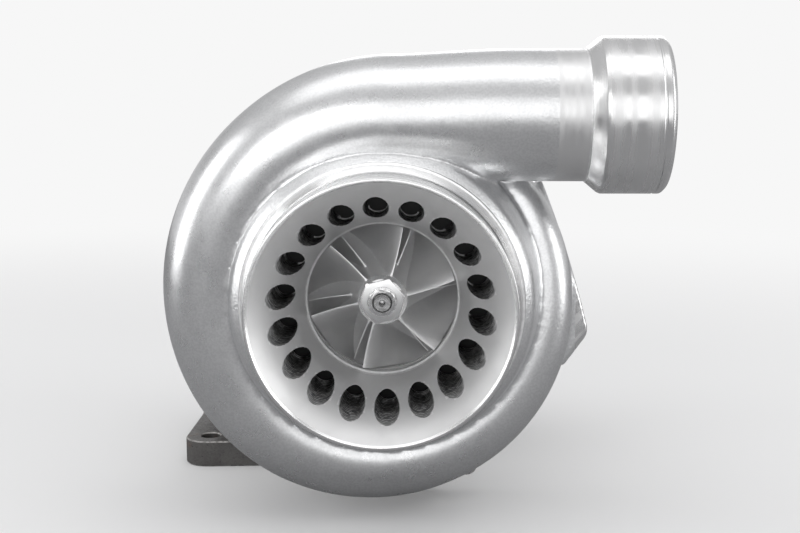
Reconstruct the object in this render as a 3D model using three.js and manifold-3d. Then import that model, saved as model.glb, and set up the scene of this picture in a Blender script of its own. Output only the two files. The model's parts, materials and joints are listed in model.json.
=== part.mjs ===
// Turbocharger with a ported compressor cover and a divided four-bolt turbine inlet.
// Millimetres, +Z up. The origin is the centre of the turbine inlet flange's underside.
// The shaft runs along Y, the compressor inlet faces -Y and the compressor outlet faces +X.
// Every piece is shaped in the shaft's frame: x and z are measured from the shaft's axis, and
// y is the depth behind the compressor inlet's lip.

import * as THREE from 'three';
import { mergeVertices } from 'three/addons/utils/BufferGeometryUtils.js';
import Module from 'manifold-3d';

const wasm = await Module();
wasm.setup();

const DEG = Math.PI / 180;

// ---- Driving dimensions ------------------------------------------------------------------

// Place of the shaft's axis and the inlet lip in the part's frame.
const AXIS_X = 71;
const AXIS_HEIGHT = 117;
const LIP_Y = -205;

// How finely round pieces are faceted.
const BODY_SIDES = 28;
const PIPE_SIDES = 16;
const SMALL_SIDES = 8;

// Running and resting gaps.
const REST_GAP = 0.3;
const WHEEL_GAP = 0.6;

// Compressor inlet.
const LIP_R = 63.5;
const DISH_R = 59.4;
const LIP_CHAMFER = 1;
const DISH_START = 1;
const DISH_CONTROL = [43, 20];
const BORE_START = 45.8;
const INDUCER_R = 36.2;
const INDUCER_Y = 47;

// Ring of recirculation holes and the slot that feeds them.
const PORT_COUNT = 18;
const PORT_R = 6.2;
const PORT_RING_R = 47.6;
const PORT_PHASE = 13;
const PORT_END = 57;
const SLOT_START = 52;
const SLOT_R = 45;

// Compressor wheel outlet and diffuser.
const EXDUCER_R = 51;
const DIFFUSER_FRONT = 80;
const PLATE_FRONT = 86;
const DIFFUSER_END_R = 80;

// Compressor scroll: outer radius by the angle travelled from the tongue.
const SCROLL_TONGUE = 50;
const SCROLL_SWEEP = 320;
const SCROLL_STATIONS = [0, 50, 110, 170, 230, 275, 320];
const SCROLL_OUTER_R = [92, 96, 104, 110, 110, 112.5, 118];
const SCROLL_SECTION_START = 10;
const SCROLL_SECTION_END = 31;
const SCROLL_GROWTH = 0.75;
const SCROLL_WALL = 5;
const SCROLL_REAR = 85;

// Compressor outlet duct and its hose collar.
const OUTLET_Z = 88.5;
const OUTLET_Y = 59;
const OUTLET_DUCT_R = 32.1;
const OUTLET_BORE_R = 27.1;
const OUTLET_STEP = 98.9;
const COLLAR_START = 104.7;
const COLLAR_END = 136.6;
const COLLAR_R = 38.1;
const COLLAR_BORE_R = 33.6;

// Joint between the cover and the backplate.
const SPIGOT_R = 80.3;
const RIM_R = 86;
const JOINT_R = 88;
const JOINT_Y = 98.65;
const JOINT_FLANGE = 4.5;

// V-band clamp.
const CLAMP_ANGLE = -70.1;
const BAND_R = 91.8;
const BAND_THICKNESS = 1.4;
const BAND_HALF_WIDTH = 7;
const T_BOLT_R = 3;
const LOOP_AT = 7.5;
const LOOP_R = 5.6;
const LOOP_BORE_R = 4.3;
const LOOP_PIN_R = 4;
const CLAMP_NUT_R = 7.5;
const CLAMP_NUT_START = -13.5;
const CLAMP_NUT_END = -26;

// Bearing housing.
const HOUSING_FRONT = 108.3;
const FLANGE_REAR = 115.5;
const HOUSING_REAR = 177.7;
const HOUSING_FLANGE_R = 60;
const HOUSING_REAR_R = 62;
const BEARING_BORE_R = 12;
const PAD_Y = 143;
const OIL_PAD_Z = 49;
const DRAIN_PAD_Z = -52;
const BACKPLATE_BOLT_RING_R = 52;

// Rotor.
const SHAFT_END = 33;
const STUD_R = 4.2;
const STUD_BORE_R = 4.6;
const JOURNAL_R = 7;
const JOURNAL_STARTS = [124, 153];
const JOURNAL_LENGTH = 14;

// Turbine wheel and housing.
const TURBINE_TIP_R = 42;
const TURBINE_EXIT_R = 36.5;
const TURBINE_INLET = [197.5, 212];
const TURBINE_EXIT_Y = 240;
const TURBINE_Y = 205;
const TURBINE_SWEEP = 330;
const TURBINE_PASSAGE_SWEEP = 315;
const TURBINE_OUTER_START = 98;
const TURBINE_OUTER_END = 62;
const TURBINE_WALL = 5;
const DIVIDER = 4;
const OUTLET_FLANGE_R = 52;
const OUTLET_END = 272;
const TURBINE_BOLT_RING_R = 69;
const TURBINE_FACE = 171.3;

// Turbine inlet flange.
const FLANGE_WIDTH = 92;
const FLANGE_LENGTH = 120;
const FLANGE_THICKNESS = 15;
const FLANGE_CORNER_R = 13;
const FLANGE_WAIST = 4;
const FLANGE_HOLE_R = 5.6;
const FLANGE_HOLES = [64, 92];
const PORT_HALF_X = 25;
const PORT_OUTER_Y = 38;
const NECK_OVERLAP = 4;

// ---- Materials ---------------------------------------------------------------------------

const finish = (color, roughness, metalness) =>
  new THREE.MeshStandardMaterial({ color, roughness, metalness });

const CAST_ALUMINIUM = finish(0xc9cacc, 0.38, 0.9);
const MACHINED_ALUMINIUM = finish(0xb4b5b8, 0.25, 1.0);
const CAST_IRON = finish(0x55524e, 0.75, 0.6);
const HOT_IRON = finish(0x4a4541, 0.85, 0.5);
const STEEL = finish(0xa4a5a8, 0.3, 1.0);
const STAINLESS = finish(0xb9b9ba, 0.3, 1.0);
const NICKEL_ALLOY = finish(0x7a746c, 0.45, 1.0);
const BRONZE = finish(0xb08a4a, 0.35, 1.0);
const RUBBER = finish(0x1c1c1d, 0.8, 0.0);

// ---- Geometry helpers --------------------------------------------------------------------

// Turns a closed three.js geometry into a solid that can be cut and joined.
function solid(geometry) {
  geometry.deleteAttribute('normal');
  geometry.deleteAttribute('uv');
  const merged = mergeVertices(geometry, 1e-4);
  const points = merged.attributes.position.array;
  const corners = merged.index.array;
  const triangles = [];
  let volume = 0;
  for (let i = 0; i < corners.length; i += 3) {
    const [a, b, c] = [corners[i], corners[i + 1], corners[i + 2]];
    if (a === b || b === c || c === a) continue;
    triangles.push(a, b, c);
    const corner = (k) => new THREE.Vector3().fromArray(points, 3 * k);
    volume += corner(a).dot(corner(b).cross(corner(c)));
  }
  if (volume < 0) triangles.reverse();
  return new wasm.Manifold(new wasm.Mesh({
    numProp: 3,
    vertProperties: points,
    triVerts: new Uint32Array(triangles),
  }));
}

const join = (...pieces) => pieces.reduce((whole, piece) => whole.add(piece));
const cut = (whole, ...pieces) => pieces.reduce((rest, piece) => rest.subtract(piece), whole);

// A named mesh of one finished solid.
function part(name, body, material) {
  const { vertProperties, triVerts } = body.getMesh();
  const geometry = new THREE.BufferGeometry();
  geometry.setAttribute('position', new THREE.BufferAttribute(vertProperties, 3));
  geometry.setIndex(new THREE.BufferAttribute(triVerts, 1));
  geometry.computeVertexNormals();
  const mesh = new THREE.Mesh(geometry, material);
  mesh.name = name;
  return mesh;
}

// Turns a profile of [radius, depth] points about the shaft's axis. A profile that starts or
// ends off the axis is closed back to its first point.
function turned(profile, sides = BODY_SIDES) {
  const points = profile.map(([radius, depth]) => new THREE.Vector2(radius, depth));
  const onAxis = profile[0][0] === 0 && profile.at(-1)[0] === 0;
  if (!onAxis) points.push(points[0].clone());
  return solid(new THREE.LatheGeometry(points, sides));
}

// A round bar along Y.
const bar = (radius, from, to, sides = SMALL_SIDES) =>
  turned([[0, from], [radius, from], [radius, to], [0, to]], sides);

// A round tube section along Y.
const ring = (inner, outer, from, to, sides = PIPE_SIDES) =>
  turned([[inner, from], [outer, from], [outer, to], [inner, to]], sides);

// A ring of round section.
function roundRing(radius, depth, thickness, sides = BODY_SIDES) {
  const around = 5;
  const profile = Array.from({ length: around }, (_, k) => {
    const angle = 2 * Math.PI * k / around;
    return [radius + thickness * Math.cos(angle), depth + thickness * Math.sin(angle)];
  });
  return turned(profile, sides);
}

// Copies of a solid spaced evenly about the shaft's axis, as one solid.
function around(body, count, phase = 0) {
  const copies = Array.from({ length: count }, (_, k) => body.rotate([0, -(phase + 360 * k / count), 0]));
  return join(...copies);
}

// Extrudes an outline drawn in x and z, from one depth to another.
function plate(shape, from, to, curveSegments = 6) {
  const geometry = new THREE.ExtrudeGeometry(shape, { depth: to - from, bevelEnabled: false, curveSegments });
  geometry.rotateX(Math.PI / 2);
  geometry.translate(0, to, 0);
  return solid(geometry);
}

// Extrudes an outline drawn in x and y upward, from one height to another.
function slab(shape, from, to, curveSegments = 3) {
  const geometry = new THREE.ExtrudeGeometry(shape, { depth: to - from, bevelEnabled: false, curveSegments });
  geometry.translate(0, 0, from);
  return solid(geometry);
}

// A slice of pie about the shaft's axis, to keep or remove a range of angles.
function sector(from, to, radius, start, end) {
  const shape = new THREE.Shape();
  shape.moveTo(0, 0);
  shape.absarc(0, 0, radius, from * DEG, to * DEG, false);
  return plate(shape, start, end, 4);
}

// A closed tube whose sections are placed by place(t, u, v): t runs along it from 0 to 1, and
// u and v are the section's own coordinates on a disc of radius 1.
function swept(sides, steps, place) {
  const geometry = new THREE.CylinderGeometry(1, 1, 1, sides, steps);
  const position = geometry.attributes.position;
  for (let i = 0; i < position.count; i += 1) {
    const point = place(0.5 - position.getY(i), position.getX(i), position.getZ(i));
    position.setXYZ(i, ...point);
  }
  return solid(geometry);
}

// A curved plate whose points are placed by place(m, s, w): m runs along it, s across it, both
// from 0 to 1, and w is -1 on one face and 1 on the other.
function bentPlate(along, across, place) {
  const geometry = new THREE.BoxGeometry(1, 1, 2, along, across, 1);
  const position = geometry.attributes.position;
  for (let i = 0; i < position.count; i += 1) {
    const point = place(position.getX(i) + 0.5, position.getY(i) + 0.5, position.getZ(i));
    position.setXYZ(i, ...point);
  }
  return solid(geometry);
}

// Points of a Bezier outline, each [radius, depth].
function curvePoints(corners, steps, gap = 0) {
  const vectors = corners.map(([r, y]) => new THREE.Vector2(r + gap, y));
  const curve = vectors.length === 3
    ? new THREE.QuadraticBezierCurve(...vectors)
    : new THREE.CubicBezierCurve(...vectors);
  return curve.getPoints(steps).map((p) => [p.x, p.y]);
}

// Scales the point (u, v) of a unit circle onto a rounded square: power 2 keeps the circle.
function squared(u, v, power) {
  const size = Math.hypot(u, v);
  if (size === 0) return [0, 0];
  const stretch = size / (Math.abs(u) ** power + Math.abs(v) ** power) ** (1 / power);
  return [u * stretch, v * stretch];
}

// A rectangle with round corners and sides drawn in by waist, centred on (x, y).
function flangeShape(x, y, width, length, corner, waist = 0) {
  const shape = new THREE.Shape();
  const [w, l] = [width / 2, length / 2];
  shape.moveTo(x - w + corner, y - l);
  shape.quadraticCurveTo(x, y - l + waist, x + w - corner, y - l);
  shape.absarc(x + w - corner, y - l + corner, corner, -90 * DEG, 0, false);
  shape.quadraticCurveTo(x + w - waist, y, x + w, y + l - corner);
  shape.absarc(x + w - corner, y + l - corner, corner, 0, 90 * DEG, false);
  shape.quadraticCurveTo(x, y + l - waist, x - w + corner, y + l);
  shape.absarc(x - w + corner, y + l - corner, corner, 90 * DEG, 180 * DEG, false);
  shape.quadraticCurveTo(x - w + waist, y, x - w, y - l + corner);
  shape.absarc(x - w + corner, y - l + corner, corner, 180 * DEG, 270 * DEG, false);
  return shape;
}

// A bar standing along Z at (x, y).
const post = (x, y, radius, from, to, sides = SMALL_SIDES) =>
  bar(radius, from, to, sides).rotate([90, 0, 0]).translate([x, y, 0]);

// ---- Outlines shared by the wheel and the cover ------------------------------------------

const WHEEL_SHROUD = [[INDUCER_R, INDUCER_Y], [INDUCER_R + 0.4, 70], [41, 80], [EXDUCER_R, DIFFUSER_FRONT + 0.6]];
const WHEEL_HUB = [[12.1, 43], [13, 64], [22, 83], [EXDUCER_R, 85]];
const BLADE_STEPS = 5;

// The cover's wall follows the blade tips, WHEEL_GAP away.
function coverShroud() {
  const [first, second, third] = WHEEL_SHROUD;
  return curvePoints([
    [first[0] + WHEEL_GAP, first[1]],
    [second[0] + WHEEL_GAP, second[1] - WHEEL_GAP],
    [third[0] + WHEEL_GAP, third[1] - WHEEL_GAP],
    [EXDUCER_R, DIFFUSER_FRONT],
  ], BLADE_STEPS);
}

// ---- Compressor cover --------------------------------------------------------------------

const scrollOuter = new THREE.CubicInterpolant(SCROLL_STATIONS, SCROLL_OUTER_R, 1);

// A point of the scroll at travel t, with its wall drawn in by inset.
function scrollPoint(t, u, v, inset) {
  const travel = t * SCROLL_SWEEP;
  const growth = (SCROLL_SECTION_END - SCROLL_SECTION_START) * t ** SCROLL_GROWTH;
  const section = SCROLL_SECTION_START + growth;
  const centre = scrollOuter.evaluate(travel)[0] - section;
  const radius = section - inset;
  const depth = SCROLL_REAR - (section - SCROLL_WALL);
  const angle = (SCROLL_TONGUE - travel) * DEG;
  const reach = centre + radius * u;
  return [reach * Math.cos(angle), depth + radius * v, reach * Math.sin(angle)];
}

// Turns a profile of [radius, distance] points about the outlet duct's axis.
const outletTurned = (profile) =>
  turned(profile, PIPE_SIDES).rotate([0, 0, -90]).translate([0, OUTLET_Y, OUTLET_Z]);

function coverOutside() {
  const hub = turned([
    [0, 0], [LIP_R - LIP_CHAMFER, 0], [LIP_R, LIP_CHAMFER], [LIP_R, 21], [65, 25.5], [69, 28.5],
    [73, 33], [76, 44], [78.5, 60], [80, 78], [RIM_R, 84], [RIM_R, JOINT_Y - REST_GAP / 2 - JOINT_FLANGE],
    [JOINT_R, JOINT_Y - REST_GAP / 2 - JOINT_FLANGE + 0.5], [JOINT_R, JOINT_Y - REST_GAP / 2],
    [0, JOINT_Y - REST_GAP / 2],
  ]);
  const scroll = swept(16, 30, (t, u, v) => scrollPoint(t, u, v, 0));
  const duct = outletTurned([
    [0, -6], [30.6, -6], [OUTLET_DUCT_R, 45], [OUTLET_DUCT_R, OUTLET_STEP], [COLLAR_R, COLLAR_START],
    [COLLAR_R, COLLAR_END - 1.5], [COLLAR_R - 1.5, COLLAR_END], [0, COLLAR_END],
  ]);
  return join(hub, scroll, duct, sideLug());
}

// A flat cast lug on the outlet side, behind the scroll.
function sideLug() {
  const shape = new THREE.Shape();
  shape.moveTo(70, 52);
  shape.lineTo(80, 55.4);
  shape.quadraticCurveTo(96, 16, 105, -21);
  shape.quadraticCurveTo(105.9, -24, 104, -27);
  shape.lineTo(93.2, -41.9);
  shape.lineTo(76, -40);
  return plate(shape, 80, 88, 4);
}

function coverInside() {
  const joint = JOINT_Y + 1;
  const dish = curvePoints([[DISH_R, DISH_START], DISH_CONTROL, [INDUCER_R + 0.6, BORE_START]], 5);
  const gasPath = turned([
    [0, -1], [DISH_R + 0.5, -1], [DISH_R + 0.5, 0], ...dish, ...coverShroud(),
    [DIFFUSER_END_R, DIFFUSER_FRONT], [DIFFUSER_END_R, PLATE_FRONT], [SPIGOT_R, PLATE_FRONT],
    [SPIGOT_R, joint], [0, joint],
  ]);
  const slot = ring(INDUCER_R - 1, SLOT_R, SLOT_START, PORT_END, BODY_SIDES);
  const ports = around(bar(PORT_R, -2, PORT_END, 8).translate([PORT_RING_R, 0, 0]), PORT_COUNT, PORT_PHASE);
  const throat = ring(73.5, DIFFUSER_END_R - 1, 73, PLATE_FRONT - 0.5, 24);
  const passage = swept(12, 24, (t, u, v) => scrollPoint(t, u, v, SCROLL_WALL));
  const bore = outletTurned([
    [0, -6], [25.8, -6], [OUTLET_BORE_R, 45], [OUTLET_BORE_R, 84], [COLLAR_BORE_R, 112],
    [COLLAR_BORE_R, COLLAR_END + 1], [0, COLLAR_END + 1],
  ]);
  return [gasPath, slot, ports, throat, passage, bore];
}

const compressorCover = () => part('compressor_cover', cut(coverOutside(), ...coverInside()), CAST_ALUMINIUM);

// ---- Compressor wheel and nut ------------------------------------------------------------

const FULL_BLADES = 6;
const BLADE_PHASE = 14.3;
const BLADE_WRAP = 60;
const BLADE_WRAP_POWER = 0.82;
const SPLITTER_START = 0.3;
const HUB_LAG = 5;

// One blade: it starts at the fraction start of the hub's length, and phase turns it.
function compressorBlade(phase, start, steps) {
  const tip = new THREE.CubicBezierCurve(...WHEEL_SHROUD.map((p) => new THREE.Vector2(...p)));
  const root = new THREE.CubicBezierCurve(...WHEEL_HUB.map((p) => new THREE.Vector2(...p)));
  return bentPlate(steps, 1, (m, s, w) => {
    const along = start + (1 - start) * m;
    const edge = tip.getPoint(along);
    const base = root.getPoint(along);
    base.x -= 1.2;
    base.y += 0.8;
    const [radius, depth] = [base.x + (edge.x - base.x) * s, base.y + (edge.y - base.y) * s];
    const wrap = BLADE_WRAP * along ** BLADE_WRAP_POWER - HUB_LAG * (1 - s) * (1 - along);
    const halfThickness = 0.55 + 0.9 * (1 - s) ** 2;
    const angle = (phase + wrap) * DEG + w * halfThickness / radius;
    return [radius * Math.cos(angle), depth, radius * Math.sin(angle)];
  });
}

function compressorWheel() {
  const hub = turned([
    [STUD_BORE_R, 42], ...curvePoints(WHEEL_HUB, 5), [EXDUCER_R, 86.4], [16, 91.5],
    [13, 93.5], [STUD_BORE_R, 93.5],
  ], 20);
  const nose = cut(bar(11, 38, 43, 6), bar(STUD_BORE_R, 37, 44, PIPE_SIDES));
  const blades = [];
  for (let k = 0; k < FULL_BLADES; k += 1) {
    const phase = BLADE_PHASE + 360 * k / FULL_BLADES;
    blades.push(compressorBlade(phase, 0, BLADE_STEPS));
    blades.push(compressorBlade(phase + 180 / FULL_BLADES, SPLITTER_START, 3));
  }
  return part('compressor_wheel', join(hub, nose, ...blades), MACHINED_ALUMINIUM);
}

// A 12-point nut: two hexagons turned against each other.
function compressorNut() {
  const hexagon = bar(6.6, 34.6, 37.7, 6);
  const washerFace = bar(7.2, 36.7, 37.7, PIPE_SIDES);
  const body = join(hexagon, hexagon.rotate([0, 30, 0]), washerFace);
  return part('compressor_nut', cut(body, bar(STUD_BORE_R, 34, 38, PIPE_SIDES)), STEEL);
}

// ---- Backplate and its clamp -------------------------------------------------------------

function compressorBackplate() {
  const flange = JOINT_Y + REST_GAP / 2;
  const body = turned([
    [13, 96], [16, 94], [30, 90.3], [52.5, 88.6], [52.5, PLATE_FRONT], [79.9, PLATE_FRONT], [79.9, 91],
    [77.7, 91], [77.7, 94], [79.9, 94], [79.9, flange], [JOINT_R, flange], [JOINT_R, flange + JOINT_FLANGE - 0.5],
    [RIM_R, flange + JOINT_FLANGE], [68, flange + JOINT_FLANGE], [62, 106], [62, 108], [20, 108], [20, 104], [13, 104],
  ]);
  const bolts = around(bar(4.3, 96, 109).translate([BACKPLATE_BOLT_RING_R, 0, 0]), 6);
  return part('compressor_backplate', cut(body, bolts), MACHINED_ALUMINIUM);
}

const backplateORing = () => part('backplate_o_ring', roundRing(79, 92.5, 1.1), RUBBER);

// Radius of the T-bolt's axis: the nut's lowest corner touches the surface that the turbine
// inlet flange stands on.
const CLAMP_TILT = (90 + CLAMP_ANGLE) * DEG;
const T_BOLT_RING_R = (AXIS_HEIGHT + CLAMP_NUT_END * Math.sin(CLAMP_TILT)) / Math.cos(CLAMP_TILT) - CLAMP_NUT_R;

// Places a clamp piece drawn with its radius along -z and the bolt along x.
const atClamp = (body) => body.rotate([0, -(90 + CLAMP_ANGLE), 0]);

// A bar along the T-bolt's axis.
const tangentBar = (radius, from, to, sides = SMALL_SIDES) =>
  bar(radius, from, to, sides).rotate([0, 0, -90]).translate([0, JOINT_Y, -T_BOLT_RING_R]);

// A bar through a strap loop, parallel to the shaft.
const loopBar = (radius, x, halfLength, sides = SMALL_SIDES) =>
  bar(radius, JOINT_Y - halfLength, JOINT_Y + halfLength, sides).translate([x, 0, -T_BOLT_RING_R]);

// One end of the strap, folded round the T-bolt's head or the trunnion.
function strapLoop(x) {
  const leg = new THREE.Shape();
  leg.moveTo(x - 3.2, -BAND_R - 0.2);
  leg.lineTo(x + 3.2, -BAND_R - 0.2);
  leg.lineTo(x + 4.4, -T_BOLT_RING_R);
  leg.lineTo(x - 4.4, -T_BOLT_RING_R);
  const body = plate(leg, JOINT_Y - BAND_HALF_WIDTH, JOINT_Y + BAND_HALF_WIDTH);
  return join(body, loopBar(LOOP_R, x, BAND_HALF_WIDTH, 16));
}

function clampStrap() {
  const start = JOINT_Y - BAND_HALF_WIDTH;
  const end = JOINT_Y + BAND_HALF_WIDTH;
  const band = ring(BAND_R, BAND_R + BAND_THICKNESS, start, end, BODY_SIDES);
  const gap = sector(CLAMP_ANGLE - 3, CLAMP_ANGLE + 3, 120, start - 1, end + 1);
  const bores = [
    loopBar(LOOP_BORE_R, -LOOP_AT, 12, 16), loopBar(LOOP_BORE_R, LOOP_AT, 12, 16),
    tangentBar(T_BOLT_R + 0.6, -20, 20),
  ];
  const loops = cut(join(strapLoop(-LOOP_AT), strapLoop(LOOP_AT)), ...bores);
  return part('cover_clamp_strap', join(cut(band, gap), atClamp(loops)), STAINLESS);
}

// Three channel segments press the two flanges together under the strap.
function clampSegments() {
  const flange = JOINT_FLANGE + REST_GAP / 2;
  const [near, far] = [flange + 0.4, BAND_HALF_WIDTH - 0.2];
  const channel = turned([
    [RIM_R + 0.6, JOINT_Y - far], [BAND_R - 0.4, JOINT_Y - far], [BAND_R - 0.4, JOINT_Y + far],
    [RIM_R + 0.6, JOINT_Y + far], [RIM_R + 0.6, JOINT_Y + near], [JOINT_R + 0.5, JOINT_Y + near],
    [JOINT_R + 0.5, JOINT_Y - near], [RIM_R + 0.6, JOINT_Y - near],
  ]);
  return [0, 1, 2].map((k) => {
    const from = CLAMP_ANGLE + 8 + 120 * k;
    const piece = channel.intersect(sector(from, from + 104, 120, JOINT_Y - 10, JOINT_Y + 10));
    return part(`cover_clamp_segment_${k + 1}`, piece, STAINLESS);
  });
}

function clampBolt() {
  const shank = tangentBar(T_BOLT_R, CLAMP_NUT_END - 4, LOOP_AT);
  return part('cover_clamp_t_bolt', atClamp(join(shank, loopBar(LOOP_PIN_R, LOOP_AT, 10))), STEEL);
}

function clampTrunnion() {
  const body = cut(loopBar(LOOP_PIN_R, -LOOP_AT, 10), tangentBar(T_BOLT_R + 0.35, -20, 0));
  return part('cover_clamp_trunnion', atClamp(body), STEEL);
}

function clampNut() {
  const hexagon = tangentBar(CLAMP_NUT_R, CLAMP_NUT_END, CLAMP_NUT_START, 6);
  const body = cut(hexagon, tangentBar(T_BOLT_R + 0.3, CLAMP_NUT_END - 1, CLAMP_NUT_START + 1));
  return part('cover_clamp_nut', atClamp(body), STEEL);
}

// ---- Bearing housing ---------------------------------------------------------------------

function housingOutside() {
  const body = turned([
    [0, HOUSING_FRONT], [HOUSING_FLANGE_R, HOUSING_FRONT], [HOUSING_FLANGE_R, FLANGE_REAR], [43.5, FLANGE_REAR], [39, 120],
    [35, 132], [35, 146], [39, 156], [50, 166], [53, TURBINE_FACE], [HOUSING_REAR_R, TURBINE_FACE],
    [HOUSING_REAR_R, HOUSING_REAR],
    [30.5, HOUSING_REAR], [28, 187], [0, 187],
  ]);
  const oilPad = slab(flangeShape(0, PAD_Y, 28, 48, 12), OIL_PAD_Z - 11, OIL_PAD_Z);
  const drainPad = slab(flangeShape(0, PAD_Y, 62, 38, 10), DRAIN_PAD_Z, DRAIN_PAD_Z + 10);
  const oilNeck = post(0, PAD_Y, 15, 0, OIL_PAD_Z - 1, 20);
  const drainNeck = post(0, PAD_Y, 18, DRAIN_PAD_Z + 1, 0, 20);
  return join(body, oilPad, drainPad, oilNeck, drainNeck);
}

const SNAP_RINGS = [122.2, 138.6, 151.2, 167.6];
const THRUST_SCREW_RING_R = 24;

function housingInside() {
  const bore = turned([
    [0, 107], [34, 107], [34, 118], [BEARING_BORE_R + 4, 118], [BEARING_BORE_R + 4, 121], [BEARING_BORE_R, 121],
    [BEARING_BORE_R, 188], [0, 188],
  ], PIPE_SIDES);
  const grooves = SNAP_RINGS.map((y) => ring(BEARING_BORE_R - 1, 13.6, y - 0.3, y + 1.5));
  const sump = turned([[0, 125], [16, 125], [16, 166], [0, 166]], 20).translate([0, 0, -19]);
  const oRingGroove = ring(38.5, 41.5, 107, 110.8, BODY_SIDES);
  const bolts = around(bar(4.3, 107, 120).translate([BACKPLATE_BOLT_RING_R, 0, 0]), 6);
  const screws = around(bar(2.8, 117, 127).translate([THRUST_SCREW_RING_R, 0, 0]), 3, 90);
  const oilFeed = post(0, PAD_Y, 3, 8, OIL_PAD_Z + 1);
  const drain = post(0, PAD_Y, 10, DRAIN_PAD_Z - 1, -10, 16);
  const studs = [
    post(0, PAD_Y - 16, 3.4, OIL_PAD_Z - 13, OIL_PAD_Z + 1), post(0, PAD_Y + 16, 3.4, OIL_PAD_Z - 13, OIL_PAD_Z + 1),
    post(-22, PAD_Y, 4.2, DRAIN_PAD_Z - 1, DRAIN_PAD_Z + 11), post(22, PAD_Y, 4.2, DRAIN_PAD_Z - 1, DRAIN_PAD_Z + 11),
  ];
  return [bore, ...grooves, sump, oRingGroove, bolts, screws, oilFeed, drain, ...studs];
}

const bearingHousing = () => part('bearing_housing', cut(housingOutside(), ...housingInside()), CAST_IRON);
const housingORing = () => part('bearing_housing_o_ring', roundRing(40, 109.5, 1.05), RUBBER);

// A hex-head bolt lying along Y, with its head's underside at y = 0 and its shank beyond.
const hexBolt = (shank, head, headHeight, length) =>
  join(bar(head, -headHeight, 0, 6), bar(shank, -1, length));

// Meshes of one fastener, spaced evenly about the shaft's axis.
function fastenerRing(name, body, material, count, radius, depth, phase) {
  const group = new THREE.Group();
  for (let k = 0; k < count; k += 1) {
    const angle = (phase + 360 * k / count) * DEG;
    const copy = part(`${name}_${k + 1}`, body, material);
    copy.position.set(radius * Math.cos(angle), depth, radius * Math.sin(angle));
    group.add(copy);
  }
  return group;
}

const backplateBolts = () => fastenerRing('backplate_bolt', hexBolt(4, 7.2, 6.5, 16).rotate([180, 0, 0]), STEEL,
  6, BACKPLATE_BOLT_RING_R, FLANGE_REAR + REST_GAP, 0);

const thrustScrews = () => fastenerRing('thrust_bearing_screw', join(bar(4.2, -2.2, 0), bar(2.4, -1, 12)), STEEL,
  3, THRUST_SCREW_RING_R, 112.7, 90);

// ---- Thrust and journal bearings, oil control --------------------------------------------

function oilFlinger() {
  const body = turned([
    [STUD_BORE_R, 93.8], [12.4, 93.8], [12.4, 99.4], [10.5, 99.4], [10.5, 101.6], [12.4, 101.6], [12.4, 104.4],
    [17, 105], [17, 106.6], [8, 106.6], [8, 108.6], [STUD_BORE_R, 108.6],
  ], PIPE_SIDES);
  return part('oil_flinger', body, STEEL);
}

const compressorPistonRing = () => part('compressor_piston_ring', ring(10.85, 12.7, 99.8, 101.2), STEEL);

const oilBaffle = () => part('oil_baffle', ring(14.3, 33.4, 108.9, 110.1), STEEL);

function thrustCollar() {
  const body = turned([
    [STUD_BORE_R, 108.9], [13.6, 108.9], [13.6, 112.6], [8.6, 112.6], [8.6, 118.1], [STUD_BORE_R, 118.1],
  ], PIPE_SIDES);
  return part('thrust_collar', body, STEEL);
}

function thrustBearing() {
  const disc = ring(9, 33.4, 113, 117.7);
  const screws = around(bar(2.8, 112, 119).translate([THRUST_SCREW_RING_R, 0, 0]), 3, 90);
  return part('thrust_bearing', cut(disc, screws), BRONZE);
}

const thrustWasher = () => part('thrust_washer', ring(STUD_BORE_R, 13.6, 118.4, 120.7), STEEL);

// A floating bush with a ring of oil holes.
function journalBearing(name, start) {
  const bush = ring(JOURNAL_R + 0.3, BEARING_BORE_R - 0.35, start, start + JOURNAL_LENGTH);
  const hole = post(0, start + JOURNAL_LENGTH / 2, 1.4, 4, BEARING_BORE_R + 1, 8);
  return part(name, cut(bush, around(hole, 4)), BRONZE);
}

const retainingRings = () => SNAP_RINGS.map((y, k) =>
  part(`bearing_retaining_ring_${k + 1}`, ring(9.8, 13.2, y, y + 1.2), STEEL));

// ---- Shaft and turbine wheel -------------------------------------------------------------

function turbineShaft() {
  const body = turned([
    [0, SHAFT_END + 1.5], [1.5, SHAFT_END], [STUD_R - 0.5, SHAFT_END], [STUD_R, SHAFT_END + 0.5], [STUD_R, 121],
    [JOURNAL_R, 121], [JOURNAL_R, 139], [6.2, 140], [6.2, 151], [JOURNAL_R, 152], [JOURNAL_R, 172],
    [11.4, 174], [11.4, 181], [9.4, 181], [9.4, 183.4], [11.4, 183.4], [11.4, 191.7], [0, 191.7],
  ], PIPE_SIDES);
  return part('turbine_shaft', body, STEEL);
}

const turbinePistonRing = () => part('turbine_piston_ring', ring(9.75, 11.7, 181.4, 183), STEEL);

const TURBINE_BLADES = 11;
const TURBINE_HUB = [[40, 195], [22, 196], [14, 212], [11.5, 241]];
const TURBINE_SHROUD = [[TURBINE_TIP_R, TURBINE_INLET[1]], [37.5, 214], [TURBINE_EXIT_R, 224], [TURBINE_EXIT_R, TURBINE_EXIT_Y]];
const TURBINE_TURN = 38;

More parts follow.
